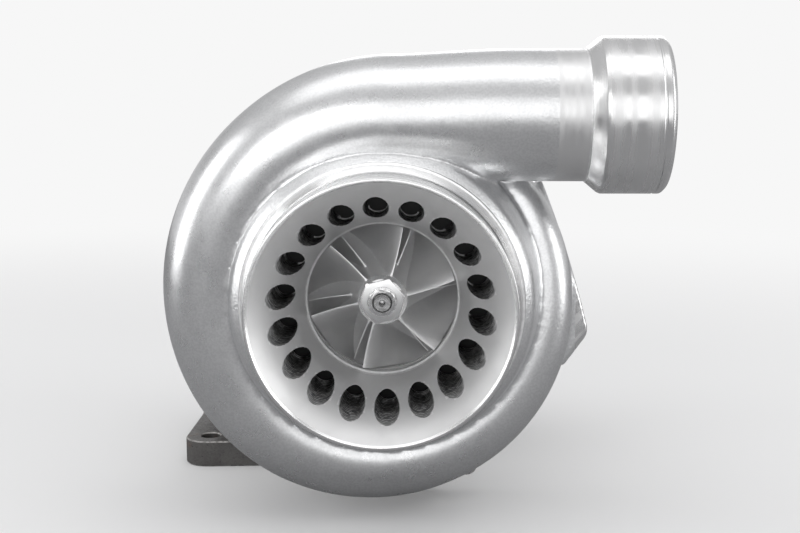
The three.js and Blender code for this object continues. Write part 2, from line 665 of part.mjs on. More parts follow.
// One blade: radial at its inlet edge, then turned back towards its exit edge.
function turbineBlade(phase) {
  const tip = new THREE.CubicBezierCurve(...TURBINE_SHROUD.map((p) => new THREE.Vector2(...p)));
  const root = new THREE.CubicBezierCurve(...TURBINE_HUB.map((p) => new THREE.Vector2(...p)));
  return bentPlate(4, 1, (m, s, w) => {
    const edge = tip.getPoint(m);
    const base = root.getPoint(m);
    base.x -= m * 1.5;
    base.y -= (1 - m) * 0.8;
    const inletEdge = (1 - m) ** 6 * (TURBINE_TIP_R - base.x) * (1 - s);
    const radius = base.x + (edge.x - base.x) * s + inletEdge;
    const depth = base.y + (edge.y - base.y) * s;
    const turn = TURBINE_TURN * Math.max(0, (depth - TURBINE_INLET[1]) / (TURBINE_EXIT_Y - TURBINE_INLET[1])) ** 1.5;
    const halfThickness = 0.8 + 0.8 * (1 - s);
    const angle = (phase + turn) * DEG + w * halfThickness / radius;
    return [radius * Math.cos(angle), depth, radius * Math.sin(angle)];
  });
}

function turbineWheel() {
  const hub = turned([
    [0, 192], [12, 192], [30, 193.2], [40, 194.2], ...curvePoints(TURBINE_HUB, 4), [8, 245.5], [0, 246],
  ], 22);
  const blades = Array.from({ length: TURBINE_BLADES }, (_, k) => turbineBlade(360 * k / TURBINE_BLADES));
  return part('turbine_wheel', join(hub, ...blades), NICKEL_ALLOY);
}

function heatShield() {
  const body = turned([
    [31.2, 188.4], [43.6, 188.4], [46, 186], [46, 178.4], [49.4, 178.4], [49.4, 179.6], [47.2, 179.6],
    [47.2, 186.5], [44.1, 189.6], [31.2, 189.6],
  ], 20);
  return part('heat_shield', body, STAINLESS);
}

// ---- Turbine housing ---------------------------------------------------------------------

// Half sizes of the turbine scroll's section, across the axis and along it, at travel t.
const turbineSection = (t) => [27 - 17 * t, 26 - 9 * t];

// A point of the turbine scroll: side is 0 for the outer wall, or -1 or 1 for a passage.
function turbineScrollPoint(t, u, v, side) {
  const [high, wide] = turbineSection(t);
  const centre = TURBINE_OUTER_START + (TURBINE_OUTER_END - TURBINE_OUTER_START) * t - high;
  const angle = (180 - t * TURBINE_SWEEP) * DEG;
  const [a, b] = squared(u, v, 3);
  const halfPassage = (wide - TURBINE_WALL - DIVIDER / 2) / 2;
  const reach = centre + a * (side === 0 ? high : high - TURBINE_WALL);
  const depth = side === 0 ? b * wide : side * (DIVIDER / 2 + halfPassage) + b * halfPassage;
  return [reach * Math.cos(angle), TURBINE_Y + depth, reach * Math.sin(angle)];
}

// A point of the neck between the inlet flange and the scroll: t runs from the flange up.
function neckPoint(t, u, v, side) {
  const [high, wide] = turbineSection(0);
  const rise = Math.min(1, t * 1.02);
  const blend = 1 - (1 - rise) ** 2;
  const [a, b] = squared(u, v, 7 - 4 * blend);
  const height = -AXIS_HEIGHT + (side === 0 ? 1 : -1) + t * (AXIS_HEIGHT + NECK_OVERLAP);
  if (side === 0) {
    const halfX = 33 + (high - 33) * blend;
    const halfY = 44 + (wide - 44) * blend;
    return [-AXIS_X + a * halfX, TURBINE_Y + b * halfY, height];
  }
  const halfX = PORT_HALF_X + (high - TURBINE_WALL - PORT_HALF_X) * blend;
  const outer = PORT_OUTER_Y + (wide - TURBINE_WALL - PORT_OUTER_Y) * blend;
  const halfY = (outer - DIVIDER / 2) / 2;
  return [-AXIS_X + a * halfX, TURBINE_Y + side * (DIVIDER / 2 + halfY) + b * halfY, height];
}

function turbineOutside() {
  const core = turned([
    [0, TURBINE_FACE], [79, TURBINE_FACE], [79, 182], [62, 190], [58, 228], [50, 238], [47.5, 250],
    [47.5, 264], [OUTLET_FLANGE_R, 266], [OUTLET_FLANGE_R, OUTLET_END], [0, OUTLET_END],
  ]);
  const scroll = swept(14, 22, (t, u, v) => turbineScrollPoint(t, u, v, 0));
  const neck = swept(20, 4, (t, u, v) => neckPoint(t, u, v, 0));
  const shape = flangeShape(-AXIS_X, TURBINE_Y, FLANGE_WIDTH, FLANGE_LENGTH, FLANGE_CORNER_R, FLANGE_WAIST);
  const flange = slab(shape, -AXIS_HEIGHT, -AXIS_HEIGHT + FLANGE_THICKNESS);
  return join(core, scroll, neck, flange);
}

function turbineInside() {
  const shroud = curvePoints(TURBINE_SHROUD, 4, WHEEL_GAP);
  const spigot = bar(HOUSING_REAR_R + 0.4, 170, 178, BODY_SIDES);
  const gasPath = turned([
    [0, 177], [50, 177], [50, 195], [53, 197], [53, TURBINE_INLET[1] + 0.5], ...shroud,
    [TURBINE_EXIT_R + WHEEL_GAP, 242], [43.5, 262], [43.5, OUTLET_END + 1], [0, OUTLET_END + 1],
  ], 20);
  const reach = TURBINE_PASSAGE_SWEEP / TURBINE_SWEEP;
  const passages = [-1, 1].map((side) => swept(10, 18, (t, u, v) => turbineScrollPoint(t * reach, u, v, side)));
  const ports = [-1, 1].map((side) => swept(12, 4, (t, u, v) => neckPoint(t, u, v, side)));
  const bolts = around(bar(4.3, TURBINE_FACE - 1, 182).translate([TURBINE_BOLT_RING_R, 0, 0]), 6);
  const [dx, dy] = [FLANGE_HOLES[0] / 2, FLANGE_HOLES[1] / 2];
  const corners = [[-dx, -dy], [dx, -dy], [dx, dy], [-dx, dy]];
  const studs = corners.map(([x, y]) =>
    post(x - AXIS_X, y + TURBINE_Y, FLANGE_HOLE_R, -AXIS_HEIGHT - 1, -AXIS_HEIGHT + FLANGE_THICKNESS + 12, 16));
  return [spigot, gasPath, ...passages, ...ports, bolts, ...studs];
}

const turbineHousing = () => part('turbine_housing', cut(turbineOutside(), ...turbineInside()), HOT_IRON);

// Each clamp plate spans two bolts and overlaps the bearing housing's rear flange.
const CLAMP_PLATE_THICKNESS = 4;

function clampPlate(number) {
  const middle = 30 + 120 * (number - 1);
  const shape = new THREE.Shape();
  shape.absarc(0, 0, 77.5, (middle - 40) * DEG, (middle + 40) * DEG, false);
  shape.absarc(0, 0, 56, (middle + 40) * DEG, (middle - 40) * DEG, true);
  const body = plate(shape, TURBINE_FACE - REST_GAP - CLAMP_PLATE_THICKNESS, TURBINE_FACE - REST_GAP, 5);
  const holes = around(bar(4.3, 160, 172).translate([TURBINE_BOLT_RING_R, 0, 0]), 6);
  return part(`clamp_plate_${number}`, cut(body, holes), STEEL);
}

const turbineBolts = () => fastenerRing('turbine_housing_bolt', hexBolt(4, 7.2, 6.5, 14), STAINLESS,
  6, TURBINE_BOLT_RING_R, TURBINE_FACE - 2 * REST_GAP - CLAMP_PLATE_THICKNESS, 0);

// ---- Assembly ----------------------------------------------------------------------------

function group(...children) {
  const parent = new THREE.Group();
  parent.add(...children);
  return parent;
}

const compressorEnd = group(
  compressorCover(), compressorBackplate(), backplateORing(), clampStrap(), ...clampSegments(),
  clampBolt(), clampTrunnion(), clampNut(), backplateBolts(), compressorPistonRing(),
);

const middle = group(
  bearingHousing(), housingORing(), oilBaffle(), thrustBearing(), thrustScrews(), ...retainingRings(),
  journalBearing('journal_bearing_front', JOURNAL_STARTS[0]),
  journalBearing('journal_bearing_rear', JOURNAL_STARTS[1]),
  turbinePistonRing(),
);

const turbineEnd = group(
  turbineHousing(), heatShield(), clampPlate(1), clampPlate(2), clampPlate(3), turbineBolts(),
);

const rotor = group(
  compressorWheel(), compressorNut(), oilFlinger(), thrustCollar(), thrustWasher(), turbineShaft(), turbineWheel(),
);

const turbocharger = group(compressorEnd, middle, turbineEnd, rotor);
turbocharger.position.set(AXIS_X, LIP_Y, AXIS_HEIGHT);

export default group(turbocharger);
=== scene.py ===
import json
import math
from math import cos, radians, sin

import bmesh
import bpy
import numpy as np
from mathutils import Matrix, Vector, noise

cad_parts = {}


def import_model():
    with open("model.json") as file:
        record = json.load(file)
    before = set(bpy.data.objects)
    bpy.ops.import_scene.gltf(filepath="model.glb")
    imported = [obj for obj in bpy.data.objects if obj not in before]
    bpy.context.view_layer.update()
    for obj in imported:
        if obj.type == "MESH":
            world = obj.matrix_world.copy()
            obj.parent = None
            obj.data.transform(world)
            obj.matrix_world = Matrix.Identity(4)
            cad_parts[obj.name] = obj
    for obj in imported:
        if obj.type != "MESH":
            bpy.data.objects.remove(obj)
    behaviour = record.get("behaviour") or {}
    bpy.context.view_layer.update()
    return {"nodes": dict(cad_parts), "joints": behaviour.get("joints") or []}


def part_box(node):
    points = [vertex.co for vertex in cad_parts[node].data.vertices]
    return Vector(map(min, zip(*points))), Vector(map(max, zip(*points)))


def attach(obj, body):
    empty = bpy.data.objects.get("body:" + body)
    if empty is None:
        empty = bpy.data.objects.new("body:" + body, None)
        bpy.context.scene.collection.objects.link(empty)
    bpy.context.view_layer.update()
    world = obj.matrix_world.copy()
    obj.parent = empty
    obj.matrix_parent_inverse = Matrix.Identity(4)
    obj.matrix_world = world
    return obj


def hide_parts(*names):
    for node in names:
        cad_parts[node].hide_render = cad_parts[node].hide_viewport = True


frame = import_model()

# The finished look of a turbocharger. Every piece is shaped in the shaft's frame, in
# millimetres: x and z are measured from the shaft's axis, and y is the depth behind the
# compressor inlet's lip. world() takes that to the part's frame, in metres.

MM = 0.001
SPIN = Vector(next(j for j in frame["joints"] if j["name"] == "rotor_spin")["pos_m"])
LIP_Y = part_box("compressor_cover")[0].y
COLLAR_END = (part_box("compressor_cover")[1].x - SPIN.x) / MM
FLANGE_Z = (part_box("turbine_housing")[0].z - SPIN.z) / MM
OUTLET_END = (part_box("turbine_housing")[1].y - LIP_Y) / MM


def world(x, y, z):
    return (SPIN.x + x * MM, LIP_Y + y * MM, SPIN.z + z * MM)


# ---- Dimensions, in millimetres ----

DISH_R = 61
BORE_R = 36.8
BORE_START = 45.8
PORT_R = 6.2
PORT_COUNT = 18
PORT_RING_R = 47.6
PORT_PHASE = 13
PORT_END = 57
OUTLET_Y = 59
OUTLET_Z = 88.5
DUCT_R = 32.1
JOINT_Y = 98.65
CLAMP_ANGLE = -70.1
NUT_CORNER_R = 7.5
CLAMP_NUT_END = -26
CLAMP_NUT_START = -16.5
PAD_Y = 143
OIL_PAD_Z = 49
DRAIN_PAD_Z = -52
TURBINE_Y = 205
TURBINE_FACE = 171.3
NECK_X = -SPIN.x / MM
BOLT_RING_FRONT = 52
BOLT_RING_REAR = 69


# ---- Mesh helpers ----

def add_object(name, points, faces):
    """A mesh object from points in the shaft's frame, with its faces pointing out."""
    mesh = bpy.data.meshes.new(name)
    mesh.from_pydata([world(*p) for p in points], [], faces)
    work = bmesh.new()
    work.from_mesh(mesh)
    bmesh.ops.recalc_face_normals(work, faces=work.faces)
    work.to_mesh(mesh)
    work.free()
    obj = bpy.data.objects.new(name, mesh)
    bpy.context.scene.collection.objects.link(obj)
    return obj


def on_shaft(radius, along, c, s):
    return (radius * c, along, radius * s)


def on_outlet(radius, along, c, s):
    return (along, OUTLET_Y + radius * c, OUTLET_Z + radius * s)


def upright(x, y):
    """Places a turned piece with its axis along Z, at (x, y)."""
    return lambda radius, along, c, s: (x + radius * c, y + radius * s, along)


def beside_shaft(x, z):
    """Places a turned piece with its axis along the shaft's, at (x, z)."""
    return lambda radius, along, c, s: (x + radius * c, along, z + radius * s)


def spread(count, radius, first=0):
    """Points (a, b) spread evenly on a circle."""
    angles = [radians(first + 360 * k / count) for k in range(count)]
    return [(radius * cos(angle), radius * sin(angle)) for angle in angles]


def rounded(corners, closed=False, steps=5):
    """A profile of (radius, along) corners. A third value is the radius of that corner's fillet."""
    result = []
    count = len(corners)
    for k, corner in enumerate(corners):
        here = Vector(corner[:2])
        fillet = corner[2] if len(corner) > 2 else 0
        if not fillet or (not closed and k in (0, count - 1)):
            result.append(tuple(here))
            continue
        back = Vector(corners[k - 1][:2]) - here
        ahead = Vector(corners[(k + 1) % count][:2]) - here
        turn = math.pi - back.angle(ahead)
        reach = min(fillet * math.tan(turn / 2), 0.48 * back.length, 0.48 * ahead.length)
        start = here + back.normalized() * reach
        end = here + ahead.normalized() * reach
        for i in range(steps + 1):
            t = i / steps
            result.append(tuple(start * (1 - t) ** 2 + here * 2 * t * (1 - t) + end * t * t))
    return result


def turned(name, profile, sides=128, place=on_shaft):
    """Turns a profile about an axis. It starts and ends on the axis, or closes on itself."""
    points, rings = [], []
    for radius, along in profile:
        if radius == 0:
            rings.append([len(points)])
            points.append(place(0, along, 1, 0))
            continue
        rings.append(range(len(points), len(points) + sides))
        for k in range(sides):
            angle = 2 * math.pi * k / sides
            points.append(place(radius, along, cos(angle), sin(angle)))
    pairs = list(zip(rings, rings[1:]))
    if len(rings[0]) > 1:
        pairs.append((rings[-1], rings[0]))
    faces = []
    for low, high in pairs:
        for k in range(sides):
            n = (k + 1) % sides
            if len(low) == 1:
                faces.append((low[0], high[k], high[n]))
            elif len(high) == 1:
                faces.append((low[k], low[n], high[0]))
            else:
                faces.append((low[k], low[n], high[n], high[k]))
    return add_object(name, points, faces)


def rod(name, radius, start, end, sides=32, place=on_shaft, chamfer=0):
    corners = [(0, start), (radius, start, chamfer), (radius, end, chamfer), (0, end)]
    return turned(name, rounded(corners, steps=2), sides, place)


def lofted(name, rings):
    """A closed solid through rings of points, with a flat cap at each end."""
    count = len(rings[0])
    points = [point for ring in rings for point in ring]
    last = len(points) - count
    faces = [tuple(range(count)), tuple(range(last, len(points)))]
    for low in range(0, last, count):
        for k in range(count):
            n = (k + 1) % count
            faces.append((low + k, low + n, low + count + n, low + count + k))
    return add_object(name, points, faces)


def swept(name, sides, steps, place):
    """A closed tube: place(t, u, v) puts a point of the section, on a circle of radius 1."""
    angles = [2 * math.pi * k / sides for k in range(sides)]
    return lofted(name, [[place(j / steps, cos(a), sin(a)) for a in angles] for j in range(steps + 1)])


def prism(name, outline, low, high, place):
    """An outline of (a, b) points, extruded from low to high: place(a, b, level)."""
    return lofted(name, [[place(a, b, level) for a, b in outline] for level in (low, high)])


def across_shaft(a, b, level):
    return (a, level, b)


def flat_slab(a, b, level):
    return (a, b, level)


def sheet_block(name, along, across, place):
    """A thin closed block, such as a blade: place(m, s, w), with w from -1 to 1 through it."""
    points, index = [], {}
    for w in (-1, 1):
        for i, m in enumerate(along):
            for j, s in enumerate(across):
                index[i, j, w] = len(points)
                points.append(place(m, s, w))
    faces = []
    last_i, last_j = len(along) - 1, len(across) - 1
    for i in range(last_i):
        for j in range(last_j):
            for w in (-1, 1):
                corners = (i, j), (i + 1, j), (i + 1, j + 1), (i, j + 1)
                faces.append(tuple(index[p, q, w] for p, q in corners))
    for i in range(last_i):
        for j in (0, last_j):
            faces.append((index[i, j, -1], index[i + 1, j, -1], index[i + 1, j, 1], index[i, j, 1]))
    for j in range(last_j):
        for i in (0, last_i):
            faces.append((index[i, j, -1], index[i, j + 1, -1], index[i, j + 1, 1], index[i, j, 1]))
    return add_object(name, points, faces)


def apply_modifiers(obj):
    graph = bpy.context.evaluated_depsgraph_get()
    finished = bpy.data.meshes.new_from_object(obj.evaluated_get(graph))
    obj.modifiers.clear()
    obj.data = finished
    return obj


def combine(operation, target, tools):
    """Cuts, joins or intersects target with each tool in turn. The tools are used up."""
    for tool in tools:
        step = target.modifiers.new("step", "BOOLEAN")
        step.operation = operation
        step.solver = "MANIFOLD"
        step.object = tool
    apply_modifiers(target)
    for tool in tools:
        bpy.data.objects.remove(tool)
    return target


def cut(target, *tools):
    return combine("DIFFERENCE", target, tools)


def unite(target, *tools):
    return combine("UNION", target, tools)


def merge(name, objects):
    """One object holding every mesh of several, without joining their surfaces."""
    work = bmesh.new()
    for obj in objects:
        work.from_mesh(obj.data)
        bpy.data.objects.remove(obj)
    mesh = bpy.data.meshes.new(name)
    work.to_mesh(mesh)
    work.free()
    whole = bpy.data.objects.new(name, mesh)
    bpy.context.scene.collection.objects.link(whole)
    return whole


def cast_together(name, objects, voxel, smoothing):
    """Melts overlapping solids into one casting with soft fillets where they meet."""
    whole = merge(name, objects)
    melt = whole.modifiers.new("melt", "REMESH")
    melt.mode = "VOXEL"
    melt.voxel_size = voxel * MM
    soften = whole.modifiers.new("soften", "SMOOTH")
    soften.factor = 0.5
    soften.iterations = smoothing
    return apply_modifiers(whole)


def read(items, name, width, kind=float):
    """One property of every vertex, edge or face of a mesh, as one long array."""
    values = np.empty(len(items) * width, kind)
    items.foreach_get(name, values)
    return values


def roughen(obj, height, size, seed):
    """Gives a casting the slight unevenness of its mould, its height and size in millimetres."""
    mesh = obj.data
    places = read(mesh.vertices, "co", 3).reshape(-1, 3)
    normals = read(mesh.vertex_normals, "vector", 3, np.float32).reshape(-1, 3)
    scaled = places / (size * MM) + seed
    lift = np.array([noise.fractal(p, 1.0, 2.0, 2) for p in scaled])
    places += normals * (lift * height * MM)[:, None]
    mesh.vertices.foreach_set("co", places.ravel())
    mesh.update()


def paint(obj, materials, choose=None):
    """Sets the materials. choose(x, y, z) gives each face the number of its own."""
    mesh = obj.data
    mesh.materials.clear()
    for material in materials:
        mesh.materials.append(material)
    numbers = np.zeros(len(mesh.polygons), np.int32)
    if choose:
        centres = read(mesh.polygons, "center", 3).reshape(-1, 3)
        x, y, z = ((centres - np.array(world(0, 0, 0))) / MM).T
        numbers[:] = choose(x, y, z)
    mesh.polygons.foreach_set("material_index", numbers)


def shade(obj, angle):
    mesh = obj.data
    mesh.polygons.foreach_set("use_smooth", np.ones(len(mesh.polygons), bool))
    mesh.set_sharp_from_angle(angle=radians(angle))


# A marked edge face, painted lighter for rubbed wear and as a painted highlight, is no wider than this,
# and its sharp edge is at least this share of its length.
WEAR_HIGHLIGHT_WIDTH = 1.2 * MM
WEAR_HIGHLIGHT_SHARE = 0.6


def mark_edges(obj):
    """Stores 1 on narrow faces along a sharp edge and 0 elsewhere, for worn edges and a painted edge
    highlight.
    """
    mesh = obj.data
    ends = read(mesh.edges, "vertices", 2, np.int32).reshape(-1, 2)
    places = read(mesh.vertices, "co", 3, np.float32).reshape(-1, 3)
    lengths = np.linalg.norm(places[ends[:, 0]] - places[ends[:, 1]], axis=1)
    sharp = read(mesh.edges, "use_edge_sharp", 1, bool)
    sides = read(mesh.loops, "edge_index", 1, np.int32)
    starts = read(mesh.polygons, "loop_start", 1, np.int32)
    longest = np.maximum.reduceat(lengths[sides], starts)
    sharpest = np.maximum.reduceat(np.where(sharp[sides], lengths[sides], 0), starts)
    narrow = read(mesh.polygons, "area", 1, np.float32) < WEAR_HIGHLIGHT_WIDTH * longest
    # These faces get the lighter edge colour: partly rubbed wear, partly a painted highlight.
    wear_and_highlight = narrow & (sharpest > WEAR_HIGHLIGHT_SHARE * longest)
    marks = mesh.attributes.new("worn_and_highlit_edge", "FLOAT", "FACE")
    marks.data.foreach_set("value", wear_and_highlight.astype(np.float32))


# Edges sharper than this, in degrees, stay crisp. Small pieces use the finer one.
SOFT_ANGLE = 32
FINE_ANGLE = 28


def finish_piece(obj, materials, body, node, choose=None, angle=SOFT_ANGLE):
    """Paints a piece, smooths it, sets its body and hides the CAD node it replaces."""
    paint(obj, materials, choose)
    shade(obj, angle)
    mark_edges(obj)
    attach(obj, body)
    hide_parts(node)


# ---- Surfaces ----

class Nodes:
    """A node tree being built."""

    def __init__(self, tree):
        self.tree = tree

    def node(self, kind, *values, **settings):
        """A new node with its settings. The values feed its first sockets, in order."""
        made = self.tree.nodes.new(kind)
        for key, value in settings.items():
            setattr(made, key, value)
        for socket, value in zip(made.inputs, values):
            self.feed(socket, value)
        return made

    def feed(self, socket, value):
        if isinstance(value, bpy.types.NodeSocket):
            self.tree.links.new(value, socket)
        else:
            socket.default_value = value

    def mix(self, share, a, b):
        """Blends two colours: share 0 gives a, and 1 gives b."""
        made = self.node("ShaderNodeMix", share, data_type="RGBA")
        for socket, colour in ((made.inputs[6], a), (made.inputs[7], b)):
            self.feed(socket, (*colour, 1) if isinstance(colour, tuple) else colour)
        return made.outputs[2]

    def camera_ray(self):
        return self.node("ShaderNodeLightPath").outputs["Is Camera Ray"]


class Surface(Nodes):
    """A material being built, with short names for the nodes that these metals share."""

    def __init__(self, name, colour, metallic, roughness):
        self.material = bpy.data.materials.new(name)
        self.material.use_nodes = True
        self.material.diffuse_color = (*colour, 1)
        super().__init__(self.material.node_tree)
        self.shader = self.tree.nodes["Principled BSDF"]
        self.shader.inputs["Base Color"].default_value = (*colour, 1)
        self.shader.inputs["Metallic"].default_value = metallic
        self.shader.inputs["Roughness"].default_value = roughness
        self.place = self.node("ShaderNodeTexCoord").outputs["Object"]

    def math(self, operation, a, b):
        return self.node("ShaderNodeMath", a, b, operation=operation).outputs[0]

    def add(self, a, b):
        return self.math("ADD", a, b)

    def times(self, a, b):
        return self.math("MULTIPLY", a, b)

    def vector(self, operation, a, b=(0, 0, 0), output=0):
        return self.node("ShaderNodeVectorMath", a, b, operation=operation).outputs[output]

    def noise(self, size, detail=2.0, place=None, roughness=0.5):
        """Soft random values around 0.5. The size of its blobs is in millimetres."""
        made = self.node("ShaderNodeTexNoise", place or self.place)
        made.inputs["Scale"].default_value = 1 / (size * MM)
        made.inputs["Detail"].default_value = detail
        made.inputs["Roughness"].default_value = roughness
        return made.outputs["Fac"]

    def grooves(self, value, size, detail=3.0):
        """Random fine grooves along one measure of the surface, such as its radius."""
        made = self.node("ShaderNodeTexNoise", noise_dimensions="1D")
        self.feed(made.inputs["W"], value)
        made.inputs["Scale"].default_value = 1 / (size * MM)
        made.inputs["Detail"].default_value = detail
        return made.outputs["Fac"]

    def scale_range(self, value, low, high, start, end):
        """A smooth step that runs from start, at low, to end, at high."""
        return self.node("ShaderNodeMapRange", value, low, high, start, end,
                         interpolation_type="SMOOTHSTEP").outputs[0]

    def set(self, colour, wear_and_highlight, roughness, height, depth, **sockets):
        """Feeds the shader. The second colour is spread by noise in patches along sharp edges: rubbed
        wear and a painted edge highlight.
        The surface is raised by height, from 0 to 1, times depth in millimetres."""
        edge = self.node("ShaderNodeAttribute", attribute_name="worn_and_highlit_edge").outputs["Fac"]
        rubbed_and_highlit = self.times(edge, self.scale_range(self.noise(2.5), 0.35, 0.6, 0.3, 1))
        bump = self.node("ShaderNodeBump")
        bump.inputs["Distance"].default_value = depth * MM
        self.feed(bump.inputs["Height"], height)
        # Lighter sharp edges: partly rubbed wear, partly a painted highlight.
        tone = self.mix(rubbed_and_highlit, colour, wear_and_highlight)
        sockets.update(Base_Color=tone, Roughness=roughness, Normal=bump.outputs[0])
        for name, value in sockets.items():
            self.feed(self.shader.inputs[name.replace("_", " ")], value)
        return self.material

    def from_axis(self, x=0, y=0, z=0, axis=(0, 1, 0)):
        """The place seen from an axis through (x, y, z): its distance, along it and round it."""
        offset = self.vector("SUBTRACT", self.place, world(x, y, z))
        across = self.vector("MULTIPLY", offset, tuple(1 - v for v in axis))
        distance = self.vector("LENGTH", across, output=1)
        along = self.vector("DOT_PRODUCT", offset, axis, output=1)
        around = self.vector("NORMALIZE", self.vector("CROSS_PRODUCT", axis, across))
        return distance, along, around


def shaded(colour, factor):
    """A colour made darker or lighter."""
    return tuple(min(1, value * factor) for value in colour)


def cast_aluminium():
    """Tumbled casting: an even satin skin, coarser near the hub and the collar."""
    s = Surface("cast_aluminium", (0.80, 0.805, 0.81), 1.0, 0.3)
    radius, _, _ = s.from_axis()
    _, reach, _ = s.from_axis(0, OUTLET_Y, OUTLET_Z, (1, 0, 0))
    near_hub = s.scale_range(radius, 84 * MM, 68 * MM, 0, 1)
    near_collar = s.scale_range(reach, 52 * MM, 96 * MM, 0, 0.6)
    patches = s.scale_range(s.noise(30, 2), 0.35, 0.75, 0.04, 0.18)
    coarse = s.math("MAXIMUM", s.math("MAXIMUM", near_hub, near_collar), patches)
    pebbles = s.times(s.noise(1.5, 2, roughness=0.55), coarse)
    grain = s.noise(1.1, 2)
    height = s.add(s.times(pebbles, 1.3), s.times(grain, 0.12))
    rough = s.add(s.scale_range(s.noise(9, 3), 0.3, 0.7, 0.26, 0.31), s.times(coarse, 0.07))
    stain = s.scale_range(s.noise(38, 4), 0.35, 0.7, 0, 0.3)
    colour = s.mix(stain, (0.86, 0.865, 0.87), (0.74, 0.745, 0.755))
    colour = s.mix(s.scale_range(grain, 0.35, 0.65, 0, 0.45), colour, (0.68, 0.685, 0.69))
    # The lighter second colour goes on sharp edges: rubbed wear and a painted highlight.
    return s.set(colour, (0.94, 0.94, 0.94), rough, height, 0.15)


def turned_aluminium(name, place, axis, polish=0.24, groove=0.55, depth=0.012, metallic=1.0):
    """Lathe-cut aluminium: fine grooves that run round the axis through place."""
    s = Surface(name, (0.80, 0.80, 0.80), metallic, polish)
    radius, along, around = s.from_axis(*place, axis)
    cut_path = s.add(radius, along)
    grooves = s.grooves(cut_path, groove)
    bands = s.grooves(cut_path, 6.0, 1.0)
    rough = s.add(s.scale_range(bands, 0.3, 0.7, polish - 0.05, polish + 0.07),
                  s.scale_range(s.noise(9, 3), 0.4, 0.7, 0, 0.05))
    handled = s.scale_range(s.noise(14, 4), 0.5, 0.75, 0, 0.4)
    colour = s.mix(handled, (0.82, 0.82, 0.82), (0.70, 0.70, 0.705))
    # The lighter second colour goes on sharp edges: rubbed wear and a painted highlight.
    return s.set(colour, (0.96, 0.96, 0.96), rough, grooves, depth, Anisotropic=0.45, Tangent=around)


def milled_aluminium():
    """Blade faces: the fine steps of a ball cutter, slightly smudged."""
    s = Surface("milled_aluminium", (0.84, 0.84, 0.84), 0.6, 0.38)
    radius, along, _ = s.from_axis()
    passes = s.grooves(s.add(radius, s.times(along, 0.25)), 1.1, 1.0)
    grain = s.noise(0.5, 2)
    height = s.add(passes, s.times(grain, 0.3))
    smudge = s.scale_range(s.noise(11, 4), 0.4, 0.7, 0, 0.5)
    colour = s.mix(smudge, (0.95, 0.95, 0.95), (0.84, 0.84, 0.85))
    rough = s.scale_range(s.noise(4, 3), 0.3, 0.7, 0.33, 0.43)
    # The lighter second colour goes on sharp edges: rubbed wear and a painted highlight.
    return s.set(colour, (0.99, 0.99, 0.99), rough, height, 0.012)


def drilled_aluminium():
    """Port walls: ridged by the drill, with soot patches and painted shade that turns them near black
    with depth.
    """
    s = Surface("drilled_aluminium", (0.45, 0.45, 0.45), 0.9, 0.45)
    _, along, _ = s.from_axis()
    rings = s.grooves(along, 0.7, 2.0)
    scoring = s.noise(0.8, 3, s.vector("MULTIPLY", s.place, (1, 0.25, 1)))
    height = s.add(rings, s.times(scoring, 0.6))
    soot = s.scale_range(s.noise(3, 4), 0.4, 0.7, 0, 0.6)
    # Painted shade: the walls fade to the near-black colour deeper in the port, and soot patches add
    # real darkening.
    painted_depth_shade = s.scale_range(along, 6 * MM, 24 * MM, 0, 1)
    soot_and_depth_shade = s.math("MAXIMUM", s.times(soot, 0.4), painted_depth_shade)
    colour = s.mix(soot_and_depth_shade, (0.52, 0.52, 0.52), (0.035, 0.035, 0.035))
    rough = s.scale_range(rings, 0.3, 0.7, 0.3, 0.48)
    # The lighter second colour goes on sharp edges: rubbed wear and a painted highlight.
    return s.set(colour, (0.92, 0.92, 0.92), rough, height, 0.05)


def bright_steel(name, colour, polish):
    """Machined or plated steel of the fasteners: tool lines, rubbed edges with a painted highlight,
    slight stains.
    """
    s = Surface(name, colour, 1.0, polish)
    scratches = s.noise(0.35, 3, s.vector("MULTIPLY", s.place, (1, 0.12, 1)))
    blotches = s.scale_range(s.noise(3.5, 4), 0.42, 0.68, 0, 0.7)
    tone = s.mix(blotches, colour, shaded(colour, 0.72))
    rough = s.scale_range(s.noise(1.6, 3), 0.3, 0.7, polish - 0.06, polish + 0.1)
    return s.set(tone, shaded(colour, 1.25), rough, scratches, 0.008)


def cast_iron(name, colour, rust, grit=0.16):
    """Sand-cast iron: gritty skin, darker pits, rubbed edges with a painted highlight, and a breath of
    rust.
    """
    s = Surface(name, colour, 0.75, 0.55)
    grains = s.noise(0.9, 4, roughness=0.6)
    lumps = s.noise(4.5, 3)
    pits = s.scale_range(s.noise(1.7, 2), 0.62, 0.74, 0, 1)
    height = s.math("SUBTRACT", s.add(grains, s.times(lumps, 0.8)), s.times(pits, 0.5))
    patches = s.scale_range(s.noise(22, 5), 0.4, 0.68, 0, 1)
    tone = s.mix(patches, colour, shaded(colour, 0.62))
    tone = s.mix(s.scale_range(s.noise(13, 6, roughness=0.65), 0.56, 0.72, 0, 0.5), tone, rust)
    tone = s.mix(pits, tone, shaded(colour, 0.45))
    rough = s.scale_range(grains, 0.35, 0.65, 0.42, 0.68)
    return s.set(tone, shaded(colour, 2.6), rough, height, grit)


def milled_iron():
    """Iron faces cut on a lathe or mill, with tool arcs and a few dull stains."""
    colour = (0.46, 0.46, 0.46)
    s = Surface("milled_iron", colour, 1.0, 0.32)
    radius, _, _ = s.from_axis()
    arcs = s.grooves(radius, 0.6)
    stains = s.scale_range(s.noise(12, 5), 0.45, 0.7, 0, 0.8)
    tone = s.mix(stains, colour, shaded(colour, 0.6))
    rough = s.scale_range(s.noise(5, 3), 0.3, 0.7, 0.25, 0.45)
    # The lighter second colour goes on sharp edges: rubbed wear and a painted highlight.
    return s.set(tone, shaded(colour, 1.5), rough, arcs, 0.015)


